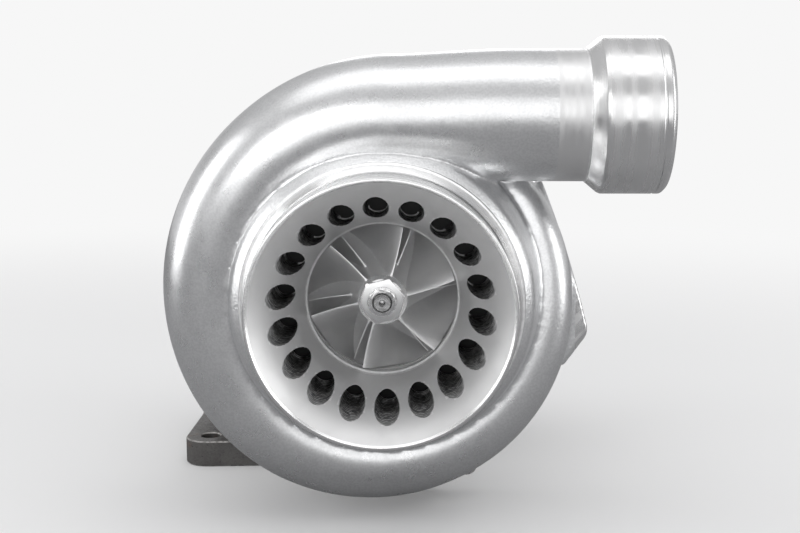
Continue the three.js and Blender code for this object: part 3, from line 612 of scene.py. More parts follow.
def heat_tinted_alloy():
    """Cast nickel alloy: straw to bronze to blue-grey as the tips ran hotter."""
    s = Surface("nickel_alloy", (0.46, 0.42, 0.38), 1.0, 0.38)
    radius, _, _ = s.from_axis()
    spread_out = s.scale_range(s.noise(9, 4), 0.3, 0.7, -0.25, 0.25)
    heat = s.add(s.scale_range(radius, 12 * MM, 40 * MM, 0, 1), spread_out)
    tone = s.mix(s.scale_range(heat, 0.1, 0.6, 0, 1), (0.50, 0.47, 0.43), (0.43, 0.36, 0.28))
    tone = s.mix(s.scale_range(heat, 0.65, 1.1, 0, 1), tone, (0.30, 0.31, 0.35))
    grain = s.noise(0.7, 4)
    rough = s.scale_range(grain, 0.3, 0.7, 0.3, 0.48)
    # The lighter second colour goes on sharp edges: rubbed wear and a painted highlight.
    return s.set(tone, (0.66, 0.64, 0.61), rough, grain, 0.04)


def plain_metal(name, colour, metallic, polish, grain_depth):
    """Bearings, rings and seals inside: fine grain, slight stains, and lighter edges from rubbed wear
    and a painted highlight.
    """
    s = Surface(name, colour, metallic, polish)
    grain = s.noise(0.5, 3)
    stains = s.scale_range(s.noise(6, 4), 0.4, 0.7, 0, 0.7)
    tone = s.mix(stains, colour, shaded(colour, 0.7))
    rough = s.scale_range(grain, 0.3, 0.7, polish - 0.05, polish + 0.1)
    return s.set(tone, shaded(colour, 1.3), rough, grain, grain_depth)


# ---- Compressor cover ----

SCROLL_START = 50
SCROLL_SWEEP = 320
SCROLL_TRAVEL = (0, 50, 110, 170, 230, 275, 320)
SCROLL_OUTER = (92, 96, 104, 110, 110, 112.5, 118)
SCROLL_WALL = 5
SCROLL_REAR = 85
SCROLL_SHARE = 0.82


def on_curve(corners, t):
    """The point at t, from 0 to 1, of a curve of 3 or 4 control corners."""
    degree = len(corners) - 1
    weights = [math.comb(degree, i) * t ** i * (1 - t) ** (degree - i) for i in range(degree + 1)]
    return tuple(sum(w * c[i] for w, c in zip(weights, corners)) for i in (0, 1))


def bezier(corners, steps):
    return [on_curve(corners, k / steps) for k in range(steps + 1)]


def scroll_outer(travel):
    """The scroll's largest reach from the shaft, on a smooth curve through its stations."""
    slopes = np.gradient(SCROLL_OUTER, SCROLL_TRAVEL)
    k = max(j for j in range(len(SCROLL_TRAVEL) - 1) if SCROLL_TRAVEL[j] <= max(0, travel))
    gap = SCROLL_TRAVEL[k + 1] - SCROLL_TRAVEL[k]
    s = (travel - SCROLL_TRAVEL[k]) / gap
    return ((2 * s ** 3 - 3 * s ** 2 + 1) * SCROLL_OUTER[k] + (s ** 3 - 2 * s ** 2 + s) * gap * slopes[k]
            + (3 * s ** 2 - 2 * s ** 3) * SCROLL_OUTER[k + 1] + (s ** 3 - s ** 2) * gap * slopes[k + 1])


def ease(t):
    return t * t * (3 - 2 * t)


def scroll_place(inset, duct_length=0):
    """The outside of the scroll, or its passage. With a length, it runs on into the duct."""
    turn_share = SCROLL_SHARE if duct_length else 1

    def place(t, u, v):
        travel = min(1, t / turn_share)
        section = 10 + 21 * travel ** 0.75
        centre = scroll_outer(travel * SCROLL_SWEEP) - section
        depth = SCROLL_REAR - (section - SCROLL_WALL)
        angle = radians(SCROLL_START - travel * SCROLL_SWEEP)
        reach = centre + (section - inset) * u
        if t <= turn_share:
            return (reach * cos(angle), depth + (section - inset) * v, reach * sin(angle))
        along = (t - turn_share) / (1 - turn_share)
        rise = ease(min(1, along * 1.6))
        radius = section + (DUCT_R - section) * rise - inset
        middle_y = depth + (OUTLET_Y - depth) * rise
        middle_z = centre + (OUTLET_Z - centre) * rise
        return (along * duct_length, middle_y + radius * v, middle_z + radius * u)
    return place


def lug_outline():
    corner = bezier([(80, 55.4), (96, 16), (105, -21)], 12)
    tip = bezier([(105, -21), (105.9, -24), (104, -27)], 4)
    return [(70, 52)] + corner + tip[1:] + [(93.2, -41.9), (76, -40)]


def cover_casting():
    hub = turned("hub", rounded([(0, 5), (62, 5), (62.6, 20, 3), (65.5, 26, 4), (73, 33, 8), (76, 44),
                                 (78.5, 60), (80, 78, 3), (85.6, 83.5, 2), (85.6, 94), (0, 94)]), 160)
    scroll = swept("scroll", 72, 200, scroll_place(0, 101))
    lug = prism("lug", lug_outline(), 80.5, 87.5, across_shaft)
    return cast_together("cover_casting", [hub, scroll, lug], 1.05, 12)


def turned_parts():
    """The turned inlet lip with its shoulder, the outlet's hose collar, and the rear rim."""
    lip = rounded([(0, 0), (63.5, 0, 1.1), (63.5, 20.6, 0.6), (63.9, 23.2, 0.8), (66.6, 25.2),
                   (67.1, 26.2), (68.0, 26.3), (68.4, 27.3), (67, 34), (0, 34)], steps=4)
    collar = rounded([(0, 97), (32.3, 98.3, 0.7), (37.4, 104.4, 1.6), (38.1, 106, 1.2),
                      (38.1, 130.4, 0.2), (37.75, 130.9, 0.2), (37.75, 131.5, 0.2), (38.1, 132, 0.2),
                      (38.1, 134.6, 2), (36, COLLAR_END, 0.8), (0, COLLAR_END)], steps=4)
    rim = rounded([(0, 85), (86, 85, 0.6), (86, 94, 0.5), (88, 94.6, 0.4), (88, 98.35, 0.5),
                   (0, 98.35)], steps=3)
    return turned("lip", lip, 200), turned("collar", collar, 144, on_outlet), turned("rim", rim, 160)


THROAT_EDGE = 0.8


def dish_curve():
    return bezier([(DISH_R, 1), (43, 20), (BORE_R + THROAT_EDGE, BORE_START)], 28)


def gas_path():
    dish = dish_curve()
    dish.append((BORE_R, BORE_START + THROAT_EDGE))
    shroud = bezier([(36.8, 47), (37.2, 69.4), (41.6, 79.4), (51, 80)], 20)
    profile = [(0, -1), (62.3, -1), (62.3, -0.4), (61.6, 0.3)] + dish + shroud
    profile += [(80, 80), (80, 86), (80.3, 86.3), (80.3, 99.5), (0, 99.5)]
    return turned("gas_path", profile, 200)


def port_cutters():
    """Drilled ports with the stepped, ridged walls that their tool leaves."""
    steps = [(0, -1)]
    radius, depth = PORT_R + 0.12, -1
    while depth < PORT_END:
        steps += [(radius, depth), (radius, depth + 2), (radius - 0.16, depth + 2.25)]
        depth += 2.6
        radius -= 0.028
    steps += [(radius, PORT_END), (0, PORT_END)]
    ring = spread(PORT_COUNT, PORT_RING_R, PORT_PHASE)
    return [turned("port", steps, 40, beside_shaft(x, z)) for x, z in ring]


def outlet_bore():
    profile = [(0, 40), (27.1, 40), (27.1, 84), (33.6, 112), (33.6, 135.4),
               (34.6, 137), (34.6, 138), (0, 138)]
    return turned("outlet_bore", profile, 96, on_outlet)


CAST, TURNED, DISH, COLLAR, DRILLED, BORE = range(6)


def in_ports(x, y, z, radius):
    """True on faces inside a port: near its axis, and behind the surface of the dish."""
    turn = radians(360 / PORT_COUNT)
    phase = radians(PORT_PHASE)
    nearest = phase + turn * np.round((np.arctan2(z, x) - phase) / turn)
    across, up = x - PORT_RING_R * np.cos(nearest), z - PORT_RING_R * np.sin(nearest)
    dish_r, dish_y = np.array(dish_curve()).T
    behind_dish = radius > np.interp(y, dish_y, dish_r) + 0.03
    return (np.hypot(across, up) < PORT_R + 0.2) & behind_dish & (y < PORT_END + 0.1) & (radius < 60)


def cover_faces(x, y, z):
    """The surface of each face, by its place. A later line wins over an earlier one."""
    radius = np.hypot(x, z)
    reach = np.hypot(y - OUTLET_Y, z - OUTLET_Z)
    numbers = np.full(len(x), CAST)
    numbers[(radius < 68.5) & (y < 27.4)] = TURNED
    numbers[(radius < DISH_R + 0.1) & (y > 0.9) & (y < 80.5)] = DISH
    at_throat = np.abs(y - BORE_START - THROAT_EDGE / 2) < 0.45
    numbers[(radius < BORE_R + THROAT_EDGE) & at_throat] = TURNED
    numbers[(radius > 79) & (y > 84.9)] = TURNED
    numbers[(x > 98.2) & (reach > 33.8)] = COLLAR
    numbers[(x > 83) & (reach < 34.7)] = BORE
    numbers[in_ports(x, y, z, radius)] = DRILLED
    return numbers


def build_cover(materials):
    cover = cover_casting()
    roughen(cover, 0.05, 16, 3.7)
    unite(cover, *turned_parts())
    passage = swept("passage", 48, 140, scroll_place(SCROLL_WALL, 50))
    cut(cover, gas_path(), outlet_bore(), passage,
        turned("slot", [(35.2, 52), (45, 52), (45, 57), (35.2, 57)], 128),
        turned("throat", [(73.5, 73), (79, 73), (79, 85.5), (73.5, 85.5)], 128), *port_cutters())
    cover.name = "cover"
    finish_piece(cover, materials, "housing", "compressor_cover", cover_faces)


# ---- Compressor wheel ----

WHEEL_SHROUD = [(36.2, 47), (36.6, 70), (41, 80), (51, 80.6)]
WHEEL_HUB = [(12.1, 43), (13, 64), (22, 83), (51, 85)]
FULL_BLADES = 6
BLADE_PHASE = 14.3
BLADE_WRAP = 60
BLADE_WRAP_POWER = 0.82
SPLITTER_START = 0.3
HUB_LAG = 5


def compressor_blade(phase, start):
    """A blade with a thin leading edge and a fillet where it meets the hub."""
    def place(m, s, w):
        part = start + (1 - start) * m
        edge_r, edge_y = on_curve(WHEEL_SHROUD, part)
        base_r, base_y = on_curve(WHEEL_HUB, part)
        base_r, base_y = base_r - 1.2, base_y + 0.8
        radius, depth = base_r + (edge_r - base_r) * s, base_y + (edge_y - base_y) * s
        wrap = BLADE_WRAP * part ** BLADE_WRAP_POWER - HUB_LAG * (1 - s) * (1 - part)
        fillet = max(0, 1 - s / 0.2) ** 2.2
        half = 0.30 + 0.55 * (1 - s) ** 1.5 + 1.5 * fillet
        half *= 0.35 + 0.65 * min(1, m / 0.05) ** 0.5
        angle = radians(phase + wrap) + w * half / radius
        return (radius * cos(angle), depth, radius * sin(angle))
    along = [0, 0.008, 0.02, 0.04] + [k / 32 for k in range(2, 33)]
    across = [0, 0.05, 0.08, 0.11, 0.14, 0.17, 0.2] + [0.2 + 0.8 * k / 10 for k in range(1, 11)]
    return sheet_block("blade", along, across, place)


def hexagon(name, corner_r, low, high, turn=0, bevel=0.6):
    """A hexagonal prism round the shaft, its corners chamfered at both ends."""
    trim = [(corner_r - bevel * 1.7, low), (corner_r + 0.3, low + bevel),
            (corner_r + 0.3, high - bevel), (corner_r - bevel * 1.7, high)]
    body = prism(name, spread(6, corner_r, turn), low, high, across_shaft)
    return combine("INTERSECT", body, [turned("limit", [(0, low), *trim, (0, high)], 48)])


NOSE_TURN = 13
NOSE_END = 42.9


def build_wheel(materials):
    front = rounded([(0, 41.6), (10.4, 41.6), (12.1, 43.2, 0.8)])
    back = rounded([(51, 86.35, 0.2), (44, 87.4), (24, 89.6, 8), (16, 91.4), (13, 93.4), (0, 93.4)])
    hub = turned("hub", front + bezier(WHEEL_HUB, 26)[1:] + back[1:], 144)
    phases = [BLADE_PHASE + k * 60 for k in range(FULL_BLADES)]
    blades = [compressor_blade(phase, 0) for phase in phases]
    blades += [compressor_blade(phase + 30, SPLITTER_START) for phase in phases]
    wheel = unite(hub, hexagon("nose", 11.5, 38, 43, NOSE_TURN, 0.35), *blades)
    cut(wheel, rod("bore", 4.7, 30, 96, 64))
    wheel.name = "wheel"
    finish_piece(wheel, materials, "rotor", "compressor_wheel",
                 lambda x, y, z: y < NOSE_END, FINE_ANGLE)


def build_shaft_nut(material):
    """A 12-point nut on its washer face, with a bore that clears the shaft's threads."""
    face = rounded([(0, 36.7), (7.3, 36.7, 0.3), (7.3, 37.7, 0.2), (0, 37.7)], steps=3)
    nut = hexagon("points", 6.9, 34.6, 37.7, 0, 0.3)
    unite(nut, hexagon("points2", 6.9, 34.6, 37.7, 30, 0.3), turned("washer_face", face, 64))
    cut(nut, turned("bore", [(0, 30), (5.2, 34.2), (4.6, 34.9), (4.6, 40), (0, 40)], 48))
    nut.name = "nut"
    finish_piece(nut, [material], "rotor", "compressor_nut", angle=FINE_ANGLE)


# ---- Plates, outlines and hexagon fasteners ----

def inset(outline, distance):
    """A counterclockwise outline, drawn in by a distance."""
    result = []
    for k, (a, b) in enumerate(outline):
        run = (Vector(outline[(k + 1) % len(outline)]) - Vector(outline[k - 1])).normalized()
        result.append((a - run.y * distance, b + run.x * distance))
    return result


def chamfered(name, outline, low, high, bevel, place):
    """An extruded outline whose top and bottom edges are chamfered."""
    small = inset(outline, bevel)
    rings = [(small, low), (outline, low + bevel), (outline, high - bevel), (small, high)]
    return lofted(name, [[place(a, b, level) for a, b in ring] for ring, level in rings])


def arc(cx, cy, radius, start, end, steps=8):
    angles = [radians(start + (end - start) * k / steps) for k in range(steps + 1)]
    return [(cx + radius * cos(a), cy + radius * sin(a)) for a in angles]


def flange_outline(x, y, width, length, corner, waist=0):
    """A counterclockwise rectangle with round corners and slightly waisted sides."""
    w, l = width / 2 - corner, length / 2 - corner
    middles = [(x + width / 2 - waist / 2, y), (x, y + length / 2 - waist / 2),
               (x - width / 2 + waist / 2, y), (x, y - length / 2 + waist / 2)]
    outline = []
    for turn, (sx, sy) in enumerate(((1, -1), (1, 1), (-1, 1), (-1, -1))):
        outline += arc(x + sx * w, y + sy * l, corner, -90 + 90 * turn, 90 * turn)
        if waist:
            outline.append(middles[turn])
    return outline


BOLT_HEAD_R = 7.2
BOLT_HEAD_END = 6.5


def hex_bolt(name, x, z, seat, out, length):
    """A flange-faced hexagon bolt along Y. Its head stands out from its seat: out is 1 or -1."""
    def place(radius, along, c, s):
        return (x + radius * c, seat + out * along, z + radius * s)

    def block(a, b, level):
        return (x + a, seat + out * level, z + b)
    head, end = BOLT_HEAD_R, BOLT_HEAD_END
    body = prism("hexagon", spread(6, head, 8), 0.9, end, block)
    crown = [(0, 0.9), (head + 0.2, 0.9), (head + 0.2, end - 1.3), (head - 1.3, end), (0, end)]
    combine("INTERSECT", body, [turned("crown", crown, 48, place)])
    collar = rounded([(0, 0), (head - 0.2, 0, 0.3), (head - 0.2, 1.1, 0.5), (0, 1.6)])
    unite(body, turned("collar", collar, 48, place), rod("shank", 4, -length, 1, 32, place, 0.6))
    dish = [(0, end - 0.35), (3.6, end - 0.35), (4.1, end + 0.1), (0, end + 0.1)]
    cut(body, turned("dish", dish, 32, place))
    body.name = name
    return body


def ring_of_bolts(name, radius, seat, out, length, material):
    for k, (x, z) in enumerate(spread(6, radius)):
        bolt = hex_bolt(f"{name}_{k + 1}_finish", x, z, seat, out, length)
        finish_piece(bolt, [material], "housing", f"{name}_{k + 1}", angle=FINE_ANGLE)


# ---- Backplate and its clamp ----

TILT = radians(90 + CLAMP_ANGLE)
T_BOLT_RING_R = (-FLANGE_Z + CLAMP_NUT_END * sin(TILT)) / cos(TILT) - NUT_CORNER_R
LOOP_AT = 7.5
LOOP_PIN_R = 4
T_BOLT_R = 3


def clamp_place(along, out, depth):
    """A place in the clamp's own frame: along its bolt, out from the shaft, and depth."""
    c, s = cos(TILT), sin(TILT)
    return (along * c + out * s, depth, along * s - out * c)


def on_t_bolt(radius, along, c, s):
    return clamp_place(along, T_BOLT_RING_R + radius * c, JOINT_Y + radius * s)


def through_loop(at):
    return lambda radius, along, c, s: clamp_place(
        at + radius * c, T_BOLT_RING_R + radius * s, JOINT_Y + along)


def bolt_holes(radius, low, high, ring_r):
    return [rod("hole", radius, low, high, 32, beside_shaft(x, z)) for x, z in spread(6, ring_r)]


def build_backplate(material):
    profile = rounded([(13, 96), (16, 94), (30, 90.3), (52.5, 88.6), (52.5, 86), (79.9, 86, 0.5),
                       (79.9, 91), (77.7, 91), (77.7, 94), (79.9, 94), (79.9, 98.8), (88, 98.8, 0.4),
                       (88, 102.7, 0.5), (86, 103.3), (69, 103.3, 1), (62, 106, 1), (62, 108, 0.4),
                       (20, 108), (20, 104), (13, 104)], closed=True, steps=3)
    plate = turned("backplate", profile, 160)
    cut(plate, *bolt_holes(4.3, 95, 110, BOLT_RING_FRONT))
    finish_piece(plate, [material], "housing", "compressor_backplate")


def strap_loop(at):
    """One end of the strap: two bands that fold round the pin in the loop."""
    bore = LOOP_PIN_R + 0.25
    fold = rounded([(bore, -7, 0.3), (5.6, -7, 0.5), (5.6, 7, 0.5), (bore, 7, 0.3)],
                   closed=True, steps=3)
    wrap = turned("wrap", fold, 48, through_loop(at))
    foot = T_BOLT_RING_R - 3
    outline = [(at - 3.1, 91.9), (at + 3.1, 91.9), (at + 4.2, foot), (at - 4.2, foot)]
    unite(wrap, prism("leg", outline, JOINT_Y - 6.9, JOINT_Y + 6.9, clamp_place))
    slot = rod("slot", 3.6, at - 9, at + 9, 32, on_t_bolt)
    return cut(wrap, rod("pin_bore", LOOP_PIN_R + 0.24, -9, 9, 48, through_loop(at)), slot)


def build_strap(material):
    low, high = JOINT_Y - 7, JOINT_Y + 7
    profile = rounded([(91.85, low + 0.5), (92.6, low, 0.5), (93.4, low + 0.3, 0.5),
                       (93.15, low + 1.4, 0.6), (93.15, high - 1.4, 0.6), (93.4, high - 0.3, 0.5),
                       (92.6, high, 0.5), (91.85, high - 0.5)], closed=True, steps=3)
    band = turned("strap", profile, 256)
    gap = arc(0, 0, 130, CLAMP_ANGLE - 3, CLAMP_ANGLE + 3, 4)
    cut(band, prism("wedge", [(0, 0)] + gap, low - 1, high + 1, across_shaft))
    unite(band, strap_loop(-LOOP_AT), strap_loop(LOOP_AT))
    finish_piece(band, [material], "housing", "cover_clamp_strap")


def build_clamp_bolt(material):
    threads = [(0, CLAMP_NUT_END - 4), (2.3, CLAMP_NUT_END - 4)]
    along = CLAMP_NUT_END - 3.4
    while along < CLAMP_NUT_START + 6:
        threads += [(T_BOLT_R, along), (T_BOLT_R - 0.55, along + 0.5)]
        along += 1
    threads += [(T_BOLT_R, along), (T_BOLT_R, LOOP_AT), (0, LOOP_AT)]
    bolt = turned("t_bolt", threads, 40, on_t_bolt)
    unite(bolt, rod("head", LOOP_PIN_R, -9.9, 9.9, 40, through_loop(LOOP_AT), 0.7))
    finish_piece(bolt, [material], "housing", "cover_clamp_t_bolt")
    trunnion = rod("trunnion", LOOP_PIN_R, -9.9, 9.9, 40, through_loop(-LOOP_AT), 0.7)
    cut(trunnion, rod("hole", T_BOLT_R + 0.35, -20, 0, 32, on_t_bolt))
    finish_piece(trunnion, [material], "housing", "cover_clamp_trunnion")


def build_clamp_nut(material):
    """A deep hexagon nut on the T-bolt, chamfered at both ends."""
    def place(a, b, level):
        return clamp_place(level, T_BOLT_RING_R + a, JOINT_Y + b)
    low, high, corner = CLAMP_NUT_END, CLAMP_NUT_START, NUT_CORNER_R
    nut = prism("clamp_nut", spread(6, corner), low, high, place)
    limit = [(0, low), (corner - 1, low), (corner + 0.1, low + 0.7), (corner + 0.1, high - 1.1),
             (corner - 0.9, high), (0, high)]
    combine("INTERSECT", nut, [turned("limit", limit, 48, on_t_bolt)])
    bore = [(0, low - 1), (4.6, low - 0.1), (3.3, low + 1.1), (3.3, high + 1), (0, high + 1)]
    cut(nut, turned("bore", bore, 32, on_t_bolt))
    finish_piece(nut, [material], "housing", "cover_clamp_nut", angle=FINE_ANGLE)


# ---- Bearing housing ----

def bearing_casting():
    profile = rounded([(0, 109), (59.4, 109, 1), (59.4, 115.2, 2), (43.5, 115.4, 5), (39, 120, 3),
                       (35, 132, 4), (35, 146, 4), (39, 156, 5), (50, 166, 3), (53, 171, 2),
                       (60.5, 172, 1), (60.5, 177, 1), (0, 177)])
    rib = [(20, 112), (57, 112), (38.5, 122), (38.5, 158), (51, 168), (51, 174), (20, 174)]
    on_axis = upright(0, PAD_Y)
    oil_pad = flange_outline(0, PAD_Y, 27.4, 47.4, 12)
    drain_pad = flange_outline(0, PAD_Y, 61.4, 37.4, 10)
    parts = [turned("body", profile, 128),
             rod("oil_neck", 15, 0, 45, 48, on_axis), rod("drain_neck", 18, -48, 0, 48, on_axis),
             chamfered("oil_pad", oil_pad, 38.4, 48.4, 0.8, flat_slab),
             chamfered("drain_pad", drain_pad, -51.4, -42.5, 0.8, flat_slab)]
    for angle in (35, 145, 215, 325):
        c, s = cos(radians(angle)), sin(radians(angle))

        def place(a, b, level, c=c, s=s):
            return (a * c - level * s, b, a * s + level * c)
        parts.append(prism("rib", rib, -2.6, 2.6, place))
    return cast_together("bearing_casting", parts, 1.0, 8)


def bearing_cutters():
    on_axis = upright(0, PAD_Y)
    inside = [(0, 106), (34, 106), (34, 118), (16, 118), (16, 121), (12, 121), (12, 188), (0, 188)]
    cutters = [turned("inside", inside, 96),
               turned("groove", [(38.5, 106), (41.5, 106), (41.5, 110.8), (38.5, 110.8)], 96)]
    cutters += [turned("ring", [(11, y - 0.3), (13.6, y - 0.3), (13.6, y + 1.5), (11, y + 1.5)], 64)
                for y in (122.2, 138.6, 151.2, 167.6)]
    cutters += [turned("sump", [(0, 125), (16, 125), (16, 166), (0, 166)], 48, beside_shaft(0, -19)),
                turned("feed", [(0, 8), (3, 8), (3, 47.5), (4.2, 49.2), (0, 49.2)], 32, on_axis),
                rod("drain", 10, -53, -10, 48, on_axis)]
    cutters += [rod("stud", 3.4, 36, 50, 24, upright(0, PAD_Y + y)) for y in (-16, 16)]
    cutters += [rod("stud", 4.2, -53, -41, 24, upright(x, PAD_Y)) for x in (-22, 22)]
    cutters += [rod("screw", 2.8, 117, 127, 24, beside_shaft(x, z)) for x, z in spread(3, 24, 90)]
    return cutters + bolt_holes(4.3, 106, 120, BOLT_RING_FRONT)


def bearing_faces(x, y, z):
    """1 on the machined ends and pads, and 0 on the cast skin."""
    radius = np.hypot(x, z)
    ends = (y < 115.6) & (radius > 43) | (y > 171.4)
    oil_pad = (z > OIL_PAD_Z - 0.6) & (radius < 60) & (y < 170)
    drain_pad = (z < DRAIN_PAD_Z + 0.6) & (radius < 62) & (y < 166)
    return ends | (oil_pad | drain_pad) & (y > 118)


def build_bearing_housing(cast, machined):
    housing = bearing_casting()
    roughen(housing, 0.10, 9, 8.1)
    front = rounded([(0, 108.3), (60, 108.3, 0.5), (60, 115.5, 0.5), (0, 115.5)])
    rear = rounded([(0, 171.5), (62, 171.5, 0.4), (62, 177.7, 0.5), (30.5, 177.7, 0.8), (28, 187, 0.5),
                    (0, 187)])
    oil_pad = flange_outline(0, PAD_Y, 28, 48, 12)
    drain_pad = flange_outline(0, PAD_Y, 62, 38, 10)
    unite(housing, turned("front_face", front, 144), turned("rear_face", rear, 144),
          chamfered("oil_face", oil_pad, 46.5, OIL_PAD_Z, 0.4, flat_slab),
          chamfered("drain_face", drain_pad, DRAIN_PAD_Z, -49.5, 0.4, flat_slab))
    cut(housing, *bearing_cutters())
    finish_piece(housing, [cast, machined], "housing", "bearing_housing", bearing_faces)


# ---- Turbine housing ----

TURBINE_SWEEP = 330
PASSAGE_SWEEP = 315
OUTER_START = 98
OUTER_END = 62
TURBINE_WALL = 5
DIVIDER = 4
PORT_HALF_X = 25
PORT_OUTER_Y = 38
NECK_OVERLAP = 4


def squared(u, v, power):
    """A point of the unit circle, pushed out towards the corners of its square."""
    stretch = 1 / (abs(u) ** power + abs(v) ** power) ** (1 / power)
    return u * stretch, v * stretch


def turbine_place(side, reach=1.0):
    """The turbine scroll's outside (side 0), or one of its two passages (-1 or 1)."""
    def place(t, u, v):
        t *= reach
        high, wide = 27 - 17 * t, 26 - 9 * t
        centre = OUTER_START + (OUTER_END - OUTER_START) * t - high
        angle = radians(180 - t * TURBINE_SWEEP)
        a, b = squared(u, v, 3)
        half = (wide - TURBINE_WALL - DIVIDER / 2) / 2
        radius = centre + a * (high if side == 0 else high - TURBINE_WALL)
        depth = b * wide if side == 0 else side * (DIVIDER / 2 + half) + b * half
        return (radius * cos(angle), TURBINE_Y + depth, radius * sin(angle))
    return place


def neck_place(side):
    def place(t, u, v):
        high, wide = 27, 26
        blend = 1 - (1 - min(1, t * 1.02)) ** 2
        a, b = squared(u, v, 7 - 4 * blend)
        height = FLANGE_Z + (2 if side == 0 else -1) + t * (-FLANGE_Z + NECK_OVERLAP)
        if side == 0:
            half_x, half_y = 32.5 + (high - 32.5) * blend, 43.5 + (wide - 43.5) * blend
            return (NECK_X + a * half_x, TURBINE_Y + b * half_y, height)
        half_x = PORT_HALF_X + (high - TURBINE_WALL - PORT_HALF_X) * blend
        outer = PORT_OUTER_Y + (wide - TURBINE_WALL - PORT_OUTER_Y) * blend
        half_y = (outer - DIVIDER / 2) / 2
        return (NECK_X + a * half_x, TURBINE_Y + side * (DIVIDER / 2 + half_y) + b * half_y, height)
    return place


def turbine_casting():
    profile = rounded([(0, 172.5), (78.4, 172.5, 1), (78.4, 181.4, 2.5), (62, 190, 4), (58, 228, 6),
                       (50, 238, 4), (47.2, 250, 4), (47.2, 263, 3), (51.4, 266.4, 1), (51.4, 270.5),
                       (0, 270.5)])
    flange = flange_outline(NECK_X, TURBINE_Y, 91.2, 119.2, 13, 4)
    parts = [turned("core", profile, 128), swept("scroll", 56, 110, turbine_place(0)),
             swept("neck", 64, 24, neck_place(0)),
             chamfered("flange", flange, FLANGE_Z + 0.6, FLANGE_Z + 14.6, 0.8, flat_slab)]
    parts += [rod("boss", 9.5, 173, 186, 32, beside_shaft(x, z), 1.5)
              for x, z in spread(6, BOLT_RING_REAR)]
    return cast_together("turbine_casting", parts, 1.2, 7)


def gas_path_behind():
    shroud = bezier([(42.6, 212.5), (38.1, 214), (37.1, 224), (37.1, 242)], 18)
    profile = [(0, 177), (50, 177), (50, 195), (53, 197), (53, 212.5)] + shroud
    profile += [(43.5, 262), (43.5, 270.8), (44.6, 272.5), (0, 272.5)]
    return turned("gas_path_behind", profile, 144)


def turbine_cutters():
    reach = PASSAGE_SWEEP / TURBINE_SWEEP
    cutters = [gas_path_behind(), rod("spigot", 62.4, 170, 178, 128)]
    cutters += [swept("passage", 40, 80, turbine_place(side, reach)) for side in (-1, 1)]
    cutters += [swept("port", 48, 24, neck_place(side)) for side in (-1, 1)]
    top = FLANGE_Z + 14.2
    stud = [(0, FLANGE_Z - 1), (5.6, FLANGE_Z - 1), (5.6, top), (6.4, FLANGE_Z + 15),
            (6.4, FLANGE_Z + 27), (0, FLANGE_Z + 27)]
    cutters += [turned("stud", stud, 32, upright(NECK_X + 32 * sx, TURBINE_Y + 46 * sy))
                for sx in (-1, 1) for sy in (-1, 1)]
    return cutters + bolt_holes(4.3, 170, 182, BOLT_RING_REAR)


def turbine_faces(x, y, z):
    """1 on the machined faces and the bore of the outlet, and 0 on the cast skin."""
    radius = np.hypot(x, z)
    front = (y < 176.9) & (radius < 79.2)
    outlet = (y > 266.2) & (radius < 52.2) | (y > 212) & (radius < 43.7)
    return front | outlet | (z < FLANGE_Z + 0.5)


def build_turbine_housing(cast, machined):
    housing = turbine_casting()
    roughen(housing, 0.16, 8, 1.3)
    start, end = TURBINE_FACE, OUTLET_END
    front = rounded([(0, start), (79, start, 0.6), (79, 177, 0.5), (0, 177)])
    outlet = rounded([(0, 266), (52, 266, 0.6), (52, end, 0.6), (0, end)])
    flange = flange_outline(NECK_X, TURBINE_Y, 92, 120, 13, 4)
    unite(housing, turned("front_face", front, 144), turned("outlet_face", outlet, 144),
          chamfered("inlet_face", flange, FLANGE_Z, FLANGE_Z + 14.9, 0.7, flat_slab))
    cut(housing, *turbine_cutters())
    finish_piece(housing, [cast, machined], "housing", "turbine_housing", turbine_faces)


def build_clamp_plates(material):
    for k, middle in enumerate((30, 150, 270)):
        start, end = middle - 40, middle + 40
        outline = arc(0, 0, 77.5, start, end, 40) + arc(0, 0, 56, end, start, 40)
        plate = chamfered(f"clamp_plate_finish_{k + 1}", outline, 167, 171, 0.5, across_shaft)
        cut(plate, *bolt_holes(4.3, 160, 172, BOLT_RING_REAR))
        finish_piece(plate, [material], "housing", f"clamp_plate_{k + 1}")


# ---- Turbine wheel and shaft ----

TURBINE_HUB = [(40, 195), (22, 196), (14, 212), (11.5, 241)]
TURBINE_SHROUD = [(42, 212), (37.5, 214), (36.5, 224), (36.5, 240)]
TURBINE_BLADES = 11
TURBINE_TURN = 38
TURBINE_TIP_R = 42
TURBINE_INLET = 197.5
TURBINE_EXIT = 240


def turbine_blade(phase):
    """A cast blade: radial at its inlet edge, thick at its root, turned at its exit edge."""
    def place(m, s, w):
        edge_r, edge_y = on_curve(TURBINE_SHROUD, m)
        base_r, base_y = on_curve(TURBINE_HUB, m)
        base_r, base_y = base_r - m * 1.5, base_y - (1 - m) * 0.8
        radius = base_r + (edge_r - base_r) * s + (1 - m) ** 6 * (TURBINE_TIP_R - base_r) * (1 - s)
        depth = base_y + (edge_y - base_y) * s
        swing = max(0, (depth - TURBINE_INLET) / (TURBINE_EXIT - TURBINE_INLET)) ** 1.5
        half = 0.55 + 0.75 * (1 - s) + 1.1 * max(0, 1 - s / 0.18) ** 2
        half *= 0.6 + 0.4 * min(1, m / 0.06, (1 - m) / 0.06)
        angle = radians(phase + TURBINE_TURN * swing) + w * half / radius
        return (radius * cos(angle), depth, radius * sin(angle))
    along = [0, 0.01, 0.03, 0.06] + [k / 20 for k in range(2, 19)] + [0.94, 0.97, 0.99, 1]
    return sheet_block("blade", along, [0, 0.05, 0.1, 0.15, 0.2] + [k / 8 for k in range(2, 9)], place)


